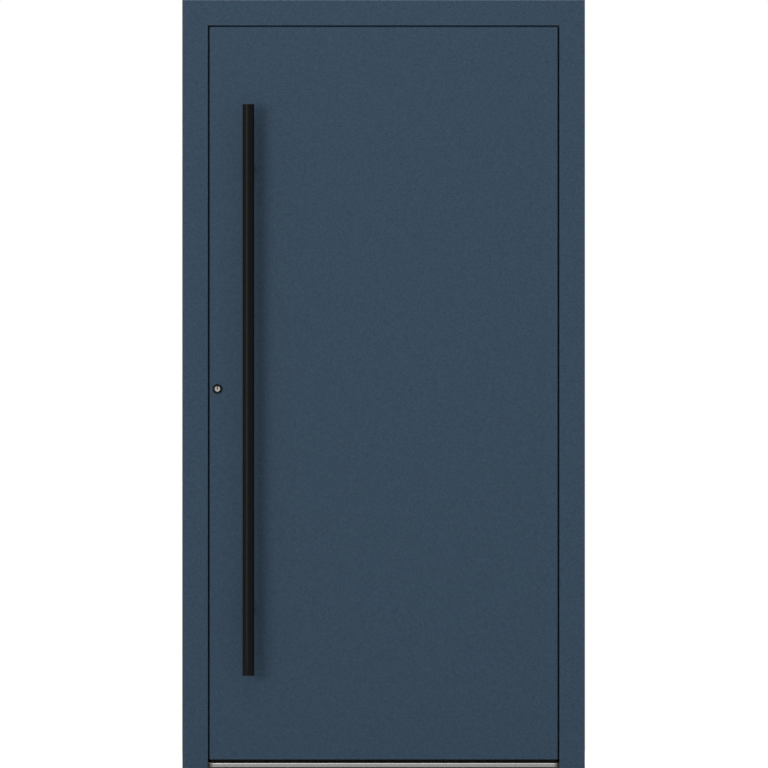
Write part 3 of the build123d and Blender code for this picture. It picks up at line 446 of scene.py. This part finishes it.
def cross_recess(angle):
    """Outline of a cross recess of reach 1: the larger of two bars' edges at each angle."""
    arm, not_zero = 0.3, 1e-9
    flat, tall = np.abs(np.cos(angle)) + not_zero, np.abs(np.sin(angle)) + not_zero
    return np.maximum(np.minimum(1 / flat, arm / tall), np.minimum(arm / flat, 1 / tall))


def hexagon(angle):
    """Outline of a hexagon socket: its flat's distance over the cosine of the angle to the flat's
    middle."""
    sixth = TURN / 6
    return math.cos(sixth / 2) / np.cos(np.mod(angle, sixth) - sixth / 2)


def screw_heads(centres, axis, head, recess, outline):
    """Countersunk heads: a cone up to the rim, a flat face, and a recess, turned by chance. The
    recess ends just above the surface that the head stands in, because that surface isn't cut."""
    proud, deep, floor = SCREW_PROUD, -0.6 * head, 0.2 * SCREW_PROUD
    cone = [(0.0, deep), (0.45 * head, deep), (head, -0.06 * head)]
    rim = [(0.97 * head, 0.7 * proud), (0.9 * head, proud)]
    socket = [(recess, proud), (0.94 * recess, 0.8 * proud), (0.9 * recess, floor), (0.0, floor)]
    twist = chance.uniform(0, TURN, len(np.atleast_2d(centres)))
    first_of_socket = len(cone) + len(rim)
    profile = cone + rim + socket
    return turned(profile, centres, axis, outline=(outline, first_of_socket), twist=twist)


# Meshes and pieces
def clean(mesh):
    """Joins doubled points at seams and poles, drops what has no area and turns faces outwards."""
    work = bmesh.new()
    work.from_mesh(mesh)
    bmesh.ops.remove_doubles(work, verts=work.verts, dist=SAME_POINT)
    bmesh.ops.dissolve_degenerate(work, edges=work.edges, dist=NO_LENGTH)
    bmesh.ops.recalc_face_normals(work, faces=work.faces)
    work.to_mesh(mesh)
    work.free()
    mesh.update()


def fitted(name, mesh, body, material):
    """Puts a finished mesh on a body, with its material."""
    mesh.materials.clear()
    mesh.materials.append(material)
    thing = bpy.data.objects.new(name, mesh)
    bpy.context.scene.collection.objects.link(thing)
    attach(thing, body)
    return thing


def piece(name, body, material, shape):
    """Makes a closed piece that rides on a body, smooth except at creases."""
    mesh = bpy.data.meshes.new(name)
    mesh.from_pydata(shape[0], [], shape[1].tolist())
    clean(mesh)
    mesh.shade_smooth()
    mesh.set_sharp_from_angle(angle=CREASE_ANGLE)
    return fitted(name, mesh, body, material)


# Places on the nodes that fasteners and small pieces sit on
plug_low, plug_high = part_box("outside_cylinder_plug")
rose_low, rose_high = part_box("inside_lever_rose")
CYLINDER_X = (plug_low.x + plug_high.x) / 2
CYLINDER_Z = (plug_low.z + plug_high.z) / 2
LEVER_Z = (rose_low.z + rose_high.z) / 2
INSIDE_Y = rose_low.y
FACE_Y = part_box("leaf_outer_sheet")[0].y
SILL_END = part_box("threshold_outer_rail")[1].x
INNER_PLUG_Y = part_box("inside_cylinder_plug")[1].y
SCREW_PROUD = 0.25 * MM
BRUSH_DEPTH = 8 * MM

# Finishes of the nodes, by the record's material slot, and of single nodes that differ
paint = fine_texture_powder_coat()
black = satin_black_coat()
rail = anodised_threshold()
silver = drawn_metal("silver_anodised_aluminium", HINGE_SILVER, "Z", 0.8, 0.36)
brushed = drawn_metal("brushed_stainless_steel", STAINLESS, "Z", 0.6, 0.33)
lever_steel = drawn_metal("satin_stainless_lever", STAINLESS, "X", 0.6, 0.28)
lever_face = turned_metal("turned_stainless_lever_rose", STAINLESS, CYLINDER_X, LEVER_Z, 0.3)
lock_face = turned_metal("turned_stainless_lock_rose", STAINLESS, CYLINDER_X, CYLINDER_Z, 0.3)
nickel = nickel_with_painted_keyway_shade()
# The plugs' metal darkens from the keyway's mouth inwards: painted shade in the keyway.
keyway_mouth, keyway_inside = 0.1 * MM, 0.8 * MM
bright_and_dark = (plug_low.y + keyway_mouth, plug_low.y + keyway_inside)
outer_plug = metal_with_painted_recess_shade("nickel_plated_outer_plug", NICKEL, "Y", *bright_and_dark)
bright_and_dark = (INNER_PLUG_Y - keyway_mouth, INNER_PLUG_Y - keyway_inside)
inner_plug = metal_with_painted_recess_shade("nickel_plated_inner_plug", NICKEL, "Y", *bright_and_dark)
zinc = zinc_plate()
polyamide = extruded_polyamide()
rubber = sealing_rubber()
bristle = nylon_bristle()

SLOT_FINISHES = {
    "powder_coat_blue": paint,
    "black_polyamide": polyamide,
    "seal_rubber": rubber,
    "threshold_aluminium": rail,
    "hinge_aluminium": silver,
    "stainless_steel": brushed,
    "lock_steel": zinc,
    "satin_nickel": nickel,
    "black_satin": black,
    "insulating_foam": rigid_foam(),
}
NODE_FINISHES = {
    "inside_lever_rose": lever_face,
    "inside_cylinder_rose": lock_face,
    "outside_cylinder_plug": outer_plug,
    "inside_cylinder_plug": inner_plug,
    "leaf_bottom_seals": bristle,
}
slots = {part["node"]: part["material_slot"] for part in frame["record"]["subparts"]}
moving = frame["record"]["behaviour"]["bodies"]
bodies = {node: body for body, nodes in moving.items() for node in nodes}
finishes = {node: NODE_FINISHES.get(node, SLOT_FINISHES[slot]) for node, slot in slots.items()}
for node, finish in finishes.items():
    frame["nodes"][node].data.materials.clear()
    frame["nodes"][node].data.materials.append(finish)


def deburred(node):
    """Stands for a node with a copy whose flat faces are whole and whose sharp edges are rounded."""
    mesh = frame["nodes"][node].data.copy()
    clean(mesh)
    work = bmesh.new()
    work.from_mesh(mesh)
    bmesh.ops.dissolve_limit(work, angle_limit=FLAT_ANGLE, verts=work.verts, edges=work.edges)
    work.to_mesh(mesh)
    work.free()
    mesh.shade_smooth()
    thing = fitted(node + "_deburred", mesh, bodies[node], finishes[node])
    rounding = thing.modifiers.new("broken edges", "BEVEL")
    rounding.width = BROKEN_EDGE
    rounding.segments = 2
    rounding.limit_method = "ANGLE"
    rounding.angle_limit = ROUNDED_ANGLE
    rounding.harden_normals = True
    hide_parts(node)


def screws(name, body, slot, colours, centres, axis, head, recess, outline):
    """Countersunk screws in a face. Each head's metal darkens into its recess, and a thin black ring
    stands round each head: both are painted shade. Head and recess are radii."""
    number = np.argmax(np.abs(axis))
    face, outwards = centres[0][number], sum(axis)
    # Painted shade: the head's metal darkens from its face into the recess.
    bright = face + outwards * 0.85 * SCREW_PROUD
    dark = face + outwards * 0.5 * SCREW_PROUD
    metal = metal_with_painted_recess_shade("pressed_metal_of_" + name, colours, "XYZ"[number], bright, dark)
    piece(name, body, metal, screw_heads(centres, axis, head, recess, outline))
    # A thin black ring round each head: painted shade in the gap round the head.
    rim, sunk, proud = head + 0.35 * MM, -0.2 * MM, 0.03 * MM
    shade_ring = [(head, sunk), (head, proud), (rim, proud), (rim, sunk), (head, sunk)]
    shape = turned(shade_ring, centres, axis)
    piece(name + "_shade_rings", body, polyamide, shape)


def lock_edge_screws():
    """Screws down the lock's long faceplate and in the strike plates, and the cylinder's own."""
    low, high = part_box("lock_faceplate")
    above_foot = np.array([20, 140, 260, 460, 660]) * MM
    near_lock = np.array([-77, 25, 113]) * MM
    below_head = np.array([610, 410, 260, 140, 20]) * MM
    heights = np.concatenate([low.z + above_foot, CYLINDER_Z + near_lock, high.z - below_head])
    middle_y = (low.y + high.y) / 2
    centres = [(low.x, middle_y, z) for z in heights]
    sizes = (4.2 * MM, 2.3 * MM, cross_recess)
    screws("faceplate_screws", "leaf", "stainless_steel", STAINLESS, centres, (-1, 0, 0), *sizes)
    centres = [(low.x, middle_y, CYLINDER_Z)]
    screws("cylinder_fixing_screw", "leaf", "lock_steel", ZINC, centres, (-1, 0, 0), *sizes)
    low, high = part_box("strike_plates")
    hook_plate = np.array([12, 92]) * MM
    main_plate = np.array([-66, 25, 111]) * MM
    heights = np.concatenate([low.z + hook_plate, CYLINDER_Z + main_plate, high.z - hook_plate])
    centres = [(high.x, middle_y, z) for z in heights]
    screws("strike_plate_screws", "frame", "stainless_steel", STAINLESS, centres, (1, 0, 0), *sizes)


def hinge_hardware():
    """Socket screws in the hinge wings, bushings between the knuckles and adjusters in the caps."""
    frame_low, frame_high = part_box("hinge_frame_knuckles")
    leaf_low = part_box("hinge_leaf_knuckles")[0]
    pin_low, pin_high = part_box("hinge_pins")
    axis = ((pin_low.x + pin_high.x) / 2, (pin_low.y + pin_high.y) / 2)
    knuckle, leaf_knuckle, gap = 38 * MM, 62 * MM, 0.5 * MM
    reach = leaf_knuckle / 2 + gap
    hinges = np.linspace(frame_low.z + knuckle + reach, frame_high.z - knuckle - reach, 3)

    wing, from_edge = 11 * MM, 12 * MM
    wing_y = frame_low.y + wing
    sizes = (5.6 * MM, 2.4 * MM, hexagon)
    near_hinge = np.array([-60.5, -40.5, 40.5, 60.5]) * MM
    heights = np.add.outer(hinges, near_hinge).ravel()
    centres = [(frame_high.x - from_edge, wing_y, z) for z in heights]
    screws("hinge_frame_screws", "frame", "stainless_steel", STAINLESS, centres, (0, 1, 0), *sizes)
    near_hinge = np.array([-20, 0, 20]) * MM
    heights = np.add.outer(hinges, near_hinge).ravel()
    centres = [(leaf_low.x + from_edge, wing_y, z) for z in heights]
    screws("hinge_leaf_screws", "leaf", "stainless_steel", STAINLESS, centres, (0, 1, 0), *sizes)

    # Radius and height over the lower knuckle, in millimetres
    ring = [(6.3, 0.05), (9.7, 0.05), (9.85, 0.12), (9.85, 0.38), (9.7, 0.45), (6.3, 0.45)]
    ring = np.array(ring + ring[:1]) * MM
    centres = [(*axis, z) for z in np.add.outer(hinges, [-reach, reach - gap]).ravel()]
    shape = turned(ring, centres, (0, 0, 1))
    piece("hinge_bushings", "frame", polyamide, shape)

    # Radius and height over the pin's cap, in millimetres
    boss = [(0, -0.5), (5.2, -0.5), (5.2, 0.25), (4.9, 0.5)]
    socket = [(2.6, 0.5), (2.5, 0.4), (2.5, 0.1), (0, 0.1)]
    profile, outline = np.array(boss + socket) * MM, (hexagon, len(boss))
    cap_reach = (pin_high.z - pin_low.z - (hinges[2] - hinges[0])) / 2
    upper = turned(profile, [(*axis, z + cap_reach) for z in hinges], (0, 0, 1), outline=outline)
    lower = turned(profile, [(*axis, z - cap_reach) for z in hinges], (0, 0, -1), outline=outline)
    piece("hinge_adjusters", "frame", brushed, joined(upper, lower))


def threshold_screws():
    """Countersunk screws that hold the inner rail to the floor, under the closed leaf."""
    low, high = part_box("threshold_inner_rail")
    from_end, from_back, count = 45 * MM, 7 * MM, 6
    across = np.linspace(low.x + from_end, high.x - from_end, count)
    centres = [(x, high.y - from_back, high.z) for x in across]
    sizes = (4.4 * MM, 2.4 * MM, cross_recess)
    screws("threshold_screws", "frame", "stainless_steel", STAINLESS, centres, (0, 0, 1), *sizes)


def mitres(node):
    """The two mitre lines of a member across the top, each from its outer to its inner corner."""
    low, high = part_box(node)
    drop = high.z - low.z
    return [((side * high.x, high.z), (side * (high.x - drop), low.z)) for side in (-1, 1)]


def joint_lines():
    """Hairline joints where the extrusions meet: mitres at the head, butt joints at the foot."""
    width, rise, bead = 0.25 * MM, 0.02 * MM, 18 * MM
    outer = hairlines(mitres("head_outer_shell"), FACE_Y, width, rise)
    inner = hairlines(mitres("head_inner_shell"), INSIDE_Y, width, rise)
    piece("frame_corner_joints", "frame", rubber, joined(outer, inner))
    low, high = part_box("leaf_bottom_rail")
    lines = mitres("leaf_top_rail") + [((x, low.z), (x, high.z)) for x in (low.x, high.x)]
    low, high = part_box("leaf_cross_beads")
    lines += [((x, low.z), (x, high.z)) for x in (low.x, high.x)]
    lines += [((low.x, z), (high.x, z)) for z in (low.z, high.z)]
    low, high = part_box("leaf_side_beads")
    for side in (-1, 1):
        begin, end = side * high.x, side * (high.x - bead)
        lines += [((begin, z), (end, z)) for z in (low.z, high.z)]
    shape = hairlines(lines, INSIDE_Y, width, rise)
    piece("leaf_corner_joints", "leaf", rubber, shape)


def lever_pieces():
    """The lever as one round bar carried along its path, with a domed end, and its collar and grub
    screw. The path runs out of the rose, turns in a quarter circle, and ends along +X."""
    low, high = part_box("inside_lever")
    radius = (high.z - low.z) / 2
    bend, dome = 18 * MM, 2.5 * MM
    far_y = high.y - radius
    neck = np.linspace([CYLINDER_X, low.y], [CYLINDER_X, far_y - bend], 8)
    turning = quarter_turn(17)[1:-1]
    corner = np.column_stack([1 - np.cos(turning), np.sin(turning)]) * bend + neck[-1]
    grip = np.linspace([CYLINDER_X + bend, far_y], [high.x - dome, far_y], 20)
    rise = quarter_turn(9)[1:]
    tip = np.column_stack([high.x - dome + dome * np.sin(rise), np.full(len(rise), far_y)])
    line = np.concatenate([neck[:1], neck, corner, grip, tip, tip[-1:]])
    even = np.full(len(line) - len(rise) - 2, radius)
    radii = np.concatenate([[0.0], even, radius - dome * (1 - np.cos(rise)), [0.0]])
    shape = carried_round(line, radii, LEVER_Z)
    lever = piece("lever_bar", "leaf", lever_steel, shape)
    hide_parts("inside_lever")

    # Radius and height over the rose, in millimetres
    collar = [(9.0, -0.5), (12.4, -0.5), (12.8, 0.0), (12.8, 1.6), (12.2, 2.6), (11.0, 3.0)]
    collar += [(9.4, 3.0), collar[0]]
    centre = (CYLINDER_X, rose_high.y, LEVER_Z)
    shape = turned(np.array(collar) * MM, centre, (0, 1, 0), steps=64)
    piece("lever_collar", "leaf", lever_face, shape)

    screw_reach = 9 * MM
    centres = [(CYLINDER_X, rose_high.y + screw_reach, LEVER_Z - radius)]
    sizes = (2.5 * MM, 1.4 * MM, hexagon)
    screws("lever_grub_screw", "leaf", "lock_steel", ZINC, centres, (0, 0, -1), *sizes)


def pull_handle():
    """The long tube with softly broken edges, its end caps, foot gaskets and grub screws."""
    low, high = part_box("pull_handle_tube")
    axis = ((low.x + high.x) / 2, (low.y + high.y) / 2)
    radius, length = (high.x - low.x) / 2, high.z - low.z
    wall, edge, inset = 2 * MM, 0.5 * MM, 3 * MM
    bore = radius - wall
    corner = quarter_turn(5)
    mouth = [(bore, inset), (bore, edge), (bore + edge, 0.0)]
    outer = np.column_stack([radius - edge + edge * np.sin(corner), edge - edge * np.cos(corner)])
    foot = np.concatenate([mouth, outer])
    rows = 26
    rise = np.linspace(edge, length - edge, rows)[1:-1]
    side = np.column_stack([np.full(len(rise), radius), rise])
    head = foot[::-1] * (1, -1) + (0, length)
    profile = np.concatenate([foot, side, head, foot[:1]])
    shape = turned(profile, (*axis, low.z), (0, 0, 1), steps=96)
    tube = piece("handle_tube", "leaf", black, shape)
    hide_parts("pull_handle_tube")

    play, bevel, thick = 0.25 * MM, 0.3 * MM, 2 * MM
    rim = bore - play
    cap = [(0.0, 0.0), (rim - edge, 0.0), (rim, bevel), (rim, thick), (0.0, thick)]
    lower = turned(cap, (*axis, low.z), (0, 0, 1), steps=64)
    upper = turned(cap, (*axis, high.z), (0, 0, -1), steps=64)
    caps = piece("handle_end_caps", "leaf", black, joined(lower, upper))
    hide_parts("pull_handle_caps")

    foot_low, foot_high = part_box("pull_handle_supports")
    foot_radius = (foot_high.x - foot_low.x) / 2
    heights = (foot_low.z + foot_radius, foot_high.z - foot_radius)
    # Radius and height over the leaf, in millimetres
    gasket = [(9.0, 0.05), (14.2, 0.05), (14.45, 0.2), (14.45, 0.5), (9.0, 0.5), (9.0, 0.05)]
    centres = [(axis[0], FACE_Y, z) for z in heights]
    shape = turned(np.array(gasket) * MM, centres, (0, -1, 0), steps=64)
    piece("handle_foot_gaskets", "leaf", rubber, shape)
    post_radius, screw_reach = 9 * MM, 12 * MM
    centres = [(axis[0], FACE_Y - screw_reach, z - post_radius) for z in heights]
    shape = screw_heads(centres, (0, 0, -1), 3.0 * MM, 1.7 * MM, hexagon)
    piece("handle_grub_screws", "leaf", black, shape)


def lock_ring():
    """The black ring round the cylinder, with its front edge rounded, and a lip over the nose's rim."""
    low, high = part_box("outside_cylinder_ring")
    outer, proud = (high.x - low.x) / 2, high.y - low.y
    opening, nose, lip, edge, bevel = 7.5 * MM, 8.65 * MM, 0.8 * MM, 1.6 * MM, 0.25 * MM
    corner = quarter_turn(9)
    shoulder = np.column_stack([edge * np.cos(corner), edge * np.sin(corner)])
    shoulder += (outer - edge, proud - edge)
    back = [(nose, 0.0), (outer, 0.0)]
    front = [(opening + bevel, proud), (opening, proud - bevel)]
    under = [(opening, proud - lip), (nose, proud - lip), (nose, 0.0)]
    profile = np.concatenate([back, shoulder, front, under])
    shape = turned(profile, (CYLINDER_X, high.y, CYLINDER_Z), (0, -1, 0), steps=96)
    ring = piece("lock_ring", "leaf", black, shape)
    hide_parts("outside_cylinder_ring")


def keyway_wards():
    """Two ribs in each keyway, on opposite sides, which give the key its profile."""
    half, rib, tall, first, last = 1.3 * MM, 0.6 * MM, 0.8 * MM, 1.5 * MM, 22 * MM
    sides_and_heights = ((-1, 1.4 * MM), (1, 3.4 * MM))
    plugs = (("outer", "outside_cylinder_plug", 1), ("inner", "inside_cylinder_plug", -1))
    for name, node, inwards in plugs:
        low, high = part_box(node)
        face = low.y if inwards > 0 else high.y
        ends = sorted([face + inwards * first, face + inwards * last])
        ribs = []
        for side, rise in sides_and_heights:
            x = sorted([CYLINDER_X + side * half, CYLINDER_X + side * (half - rib)])
            outline = rectangle(*x, CYLINDER_Z + rise, CYLINDER_Z + rise + tall)
            ribs.append(straight_bar(outline, 1, *ends))
        shape = joined(*ribs)
        piece(f"{name}_keyway_wards", bodies[node], finishes[node], shape)


def filaments(front, half, top, tip):
    """A brush's filaments. Each is a three-sided bar from its base in the holder to a thinner tip
    that leans a little, at evenly spaced places moved by chance."""
    pitch, rows, radius, thinned = 1.15 * MM, 4, 0.42 * MM, 0.4
    # How far a base is moved, how far a tip leans and how uneven the ends are, in millimetres
    moved, lean, uneven = 0.3, 0.45, 0.6
    x = np.arange(-half + pitch, half - pitch / 2, pitch)
    y = front + (np.arange(rows) + 0.5) * BRUSH_DEPTH / rows
    base = np.stack([*np.meshgrid(x, y, [top])], -1).reshape(-1, 3)
    base[:, :2] += chance.uniform(-moved, moved, (len(base), 2)) * MM
    end = base + chance.normal(0, lean, base.shape) * MM
    end[:, 2] = tip + chance.uniform(0, uneven, len(base)) * MM
    angle = chance.uniform(0, TURN, (len(base), 1)) + np.arange(3) * TURN / 3
    corner = radius * np.stack([np.cos(angle), np.sin(angle), 0 * angle], -1)
    points = np.concatenate([base[:, None] + corner, end[:, None] + thinned * corner], 1)
    sides = [(0, 1, 4), (0, 4, 3), (1, 2, 5), (1, 5, 4), (2, 0, 3), (2, 3, 5)]
    ends = [(0, 2, 1), (3, 4, 5)]
    return many(points, np.array(sides + ends))


def brush_seals():
    """Two brush strips under the leaf: filaments, a thin fin between their rows, and a holder."""
    low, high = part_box("leaf_bottom_seals")
    short_of_edge, grip, half_fin, bevel, longer = 2 * MM, 2.6 * MM, 0.3 * MM, 0.5 * MM, 0.7 * MM
    sheet_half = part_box("leaf_outer_sheet")[1].x - short_of_edge
    # Filaments and fin reach nearer to the threshold than the plain bars that they stand for.
    tip, base = low.z - longer, high.z - grip
    hairs, fins, holders = [], [], []
    for front, half in ((low.y, sheet_half), (high.y - BRUSH_DEPTH, high.x)):
        hairs.append(filaments(front, half, base, tip))
        middle, back = front + BRUSH_DEPTH / 2, front + BRUSH_DEPTH
        outline = rectangle(middle - half_fin, middle + half_fin, tip, base)
        fins.append(straight_bar(outline, 0, -half, half))
        outline = [(front, high.z), (front, base + bevel), (front + bevel, base)]
        outline += [(back - bevel, base), (back, base + bevel), (back, high.z)]
        holders.append(straight_bar(outline, 0, -half, half))
    brush = piece("brush_filaments", "leaf", bristle, joined(*hairs))
    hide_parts("leaf_bottom_seals")
    piece("brush_fins", "leaf", rubber, joined(*fins))
    piece("brush_holders", "leaf", polyamide, joined(*holders))


for node in (
    "hinge_frame_knuckles",
    "hinge_leaf_knuckles",
    "hinge_pins",
    "inside_lever_rose",
    "inside_cylinder_rose",
    "pull_handle_supports",
):
    deburred(node)
lock_edge_screws()
hinge_hardware()
threshold_screws()
joint_lines()
lever_pieces()
pull_handle()
lock_ring()
keyway_wards()
brush_seals()


# Camera, light and ground
def photo_camera():
    """The photo's square-on view, by a very long lens. It crops a hair inside the door's outline.
    The distance is the image's height on the door times the lens over the sensor."""
    image_height, lens, sensor = 2.098, 1000.0, 36.0
    shift_x, middle_z = 1.1 * MM, 1.0503
    data = bpy.data.cameras.new("camera")
    data.sensor_width = sensor
    data.lens = lens
    data.clip_start, data.clip_end = 1.0, 200.0
    camera = bpy.data.objects.new("camera", data)
    distance = image_height * lens / sensor
    camera.location = (shift_x, FACE_Y - distance, middle_z)
    camera.rotation_euler = (math.pi / 2, 0.0, 0.0)
    bpy.context.scene.collection.objects.link(camera)
    bpy.context.scene.camera = camera


def lamp(name, kind, strength, place, towards):
    """A lamp at a place, turned to shine along a direction."""
    data = bpy.data.lights.new(name, kind)
    data.energy = strength
    thing = bpy.data.objects.new(name, data)
    thing.location = place
    thing.rotation_mode = "QUATERNION"
    thing.rotation_quaternion = Vector(towards).to_track_quat("-Z", "Y")
    bpy.context.scene.collection.objects.link(thing)
    return data


def studio_lamps():
    """A soft key from the left and slightly above, and a weak soft light over the door's head."""
    place, heading = (0.0, -3.0, 2.0), (33.0, 55.0, -5.5)
    key = lamp("key", "SUN", 1.3, place, heading)
    key.angle = math.radians(25)
    place, target = Vector((-0.6, -2.2, 3.6)), Vector((0.0, FACE_Y, 1.6))
    overhead = lamp("overhead", "AREA", 15.5, place, target - place)
    overhead.size = 1.6


def backdrop_rays(tree):
    """1 for rays from the camera and for reflected and transmitted ones, which see the backdrop."""
    path = add(tree, "ShaderNodeLightPath")
    inputs = {0: (path, "Is Camera Ray"), 1: (path, "Is Glossy Ray")}
    either = add(tree, "ShaderNodeMath", inputs, operation="MAXIMUM")
    inputs = {0: either, 1: (path, "Is Transmission Ray")}
    return add(tree, "ShaderNodeMath", inputs, operation="MAXIMUM")


def pale_surround(strength):
    """World: a grey surround that lights the door, and plain white where it is seen."""
    world = bpy.data.worlds.new("surround")
    world.use_nodes = True
    tree = world.node_tree
    tree.nodes.clear()
    grey = add(tree, "ShaderNodeBackground", {"Color": linear(WHITE), "Strength": strength})
    white = add(tree, "ShaderNodeBackground", {"Color": linear(WHITE), "Strength": 1.0})
    inputs = {"Fac": backdrop_rays(tree), 1: grey, 2: white}
    surface = add(tree, "ShaderNodeMixShader", inputs)
    add(tree, "ShaderNodeOutputWorld", {"Surface": surface})
    bpy.context.scene.world = world


def pale_floor(strength):
    """A round floor just under the door. Seen directly it is white, with the door's shadow near the
    door. To the door it gives the surround's light, so that the shadow doesn't darken its foot."""
    radius, drop, fade_from, fade_to, gain = 8.0, 0.5 * MM, 1.2, 3.0, 2.4
    points, faces = turned([(0.0, 0.0), (radius, 0.0)], (0.0, 0.0, -drop), (0, 0, 1), steps=96)
    mesh = bpy.data.meshes.new("floor")
    mesh.from_pydata(points, [], faces.tolist())
    clean(mesh)
    material, tree, place = start("white_paper_floor")
    away = add(tree, "ShaderNodeVectorMath", {0: place}, operation="LENGTH")
    lit = add(tree, "ShaderNodeEmission", {"Color": linear(WHITE), "Strength": strength})
    # The low lamp lights the paper too little to look white, so it gives back more than it gets.
    shaded = add(tree, "ShaderNodeBsdfDiffuse", {"Color": (gain, gain, gain, 1.0)})
    plain = add(tree, "ShaderNodeEmission", {"Color": linear(WHITE), "Strength": 1.0})
    inputs = {"Value": (away, "Value"), "From Min": fade_from, "From Max": fade_to}
    share = add(tree, "ShaderNodeMapRange", inputs)
    seen = add(tree, "ShaderNodeMixShader", {"Fac": share, 1: shaded, 2: plain})
    inputs = {"Fac": backdrop_rays(tree), 1: lit, 2: seen}
    surface = add(tree, "ShaderNodeMixShader", inputs)
    add(tree, "ShaderNodeOutputMaterial", {"Surface": surface})
    mesh.materials.append(material)
    floor = bpy.data.objects.new("floor", mesh)
    bpy.context.scene.collection.objects.link(floor)


photo_camera()
studio_lamps()
surround_strength = 0.6
pale_surround(surround_strength)
pale_floor(surround_strength)
bpy.context.scene.view_settings.view_transform = "Standard"
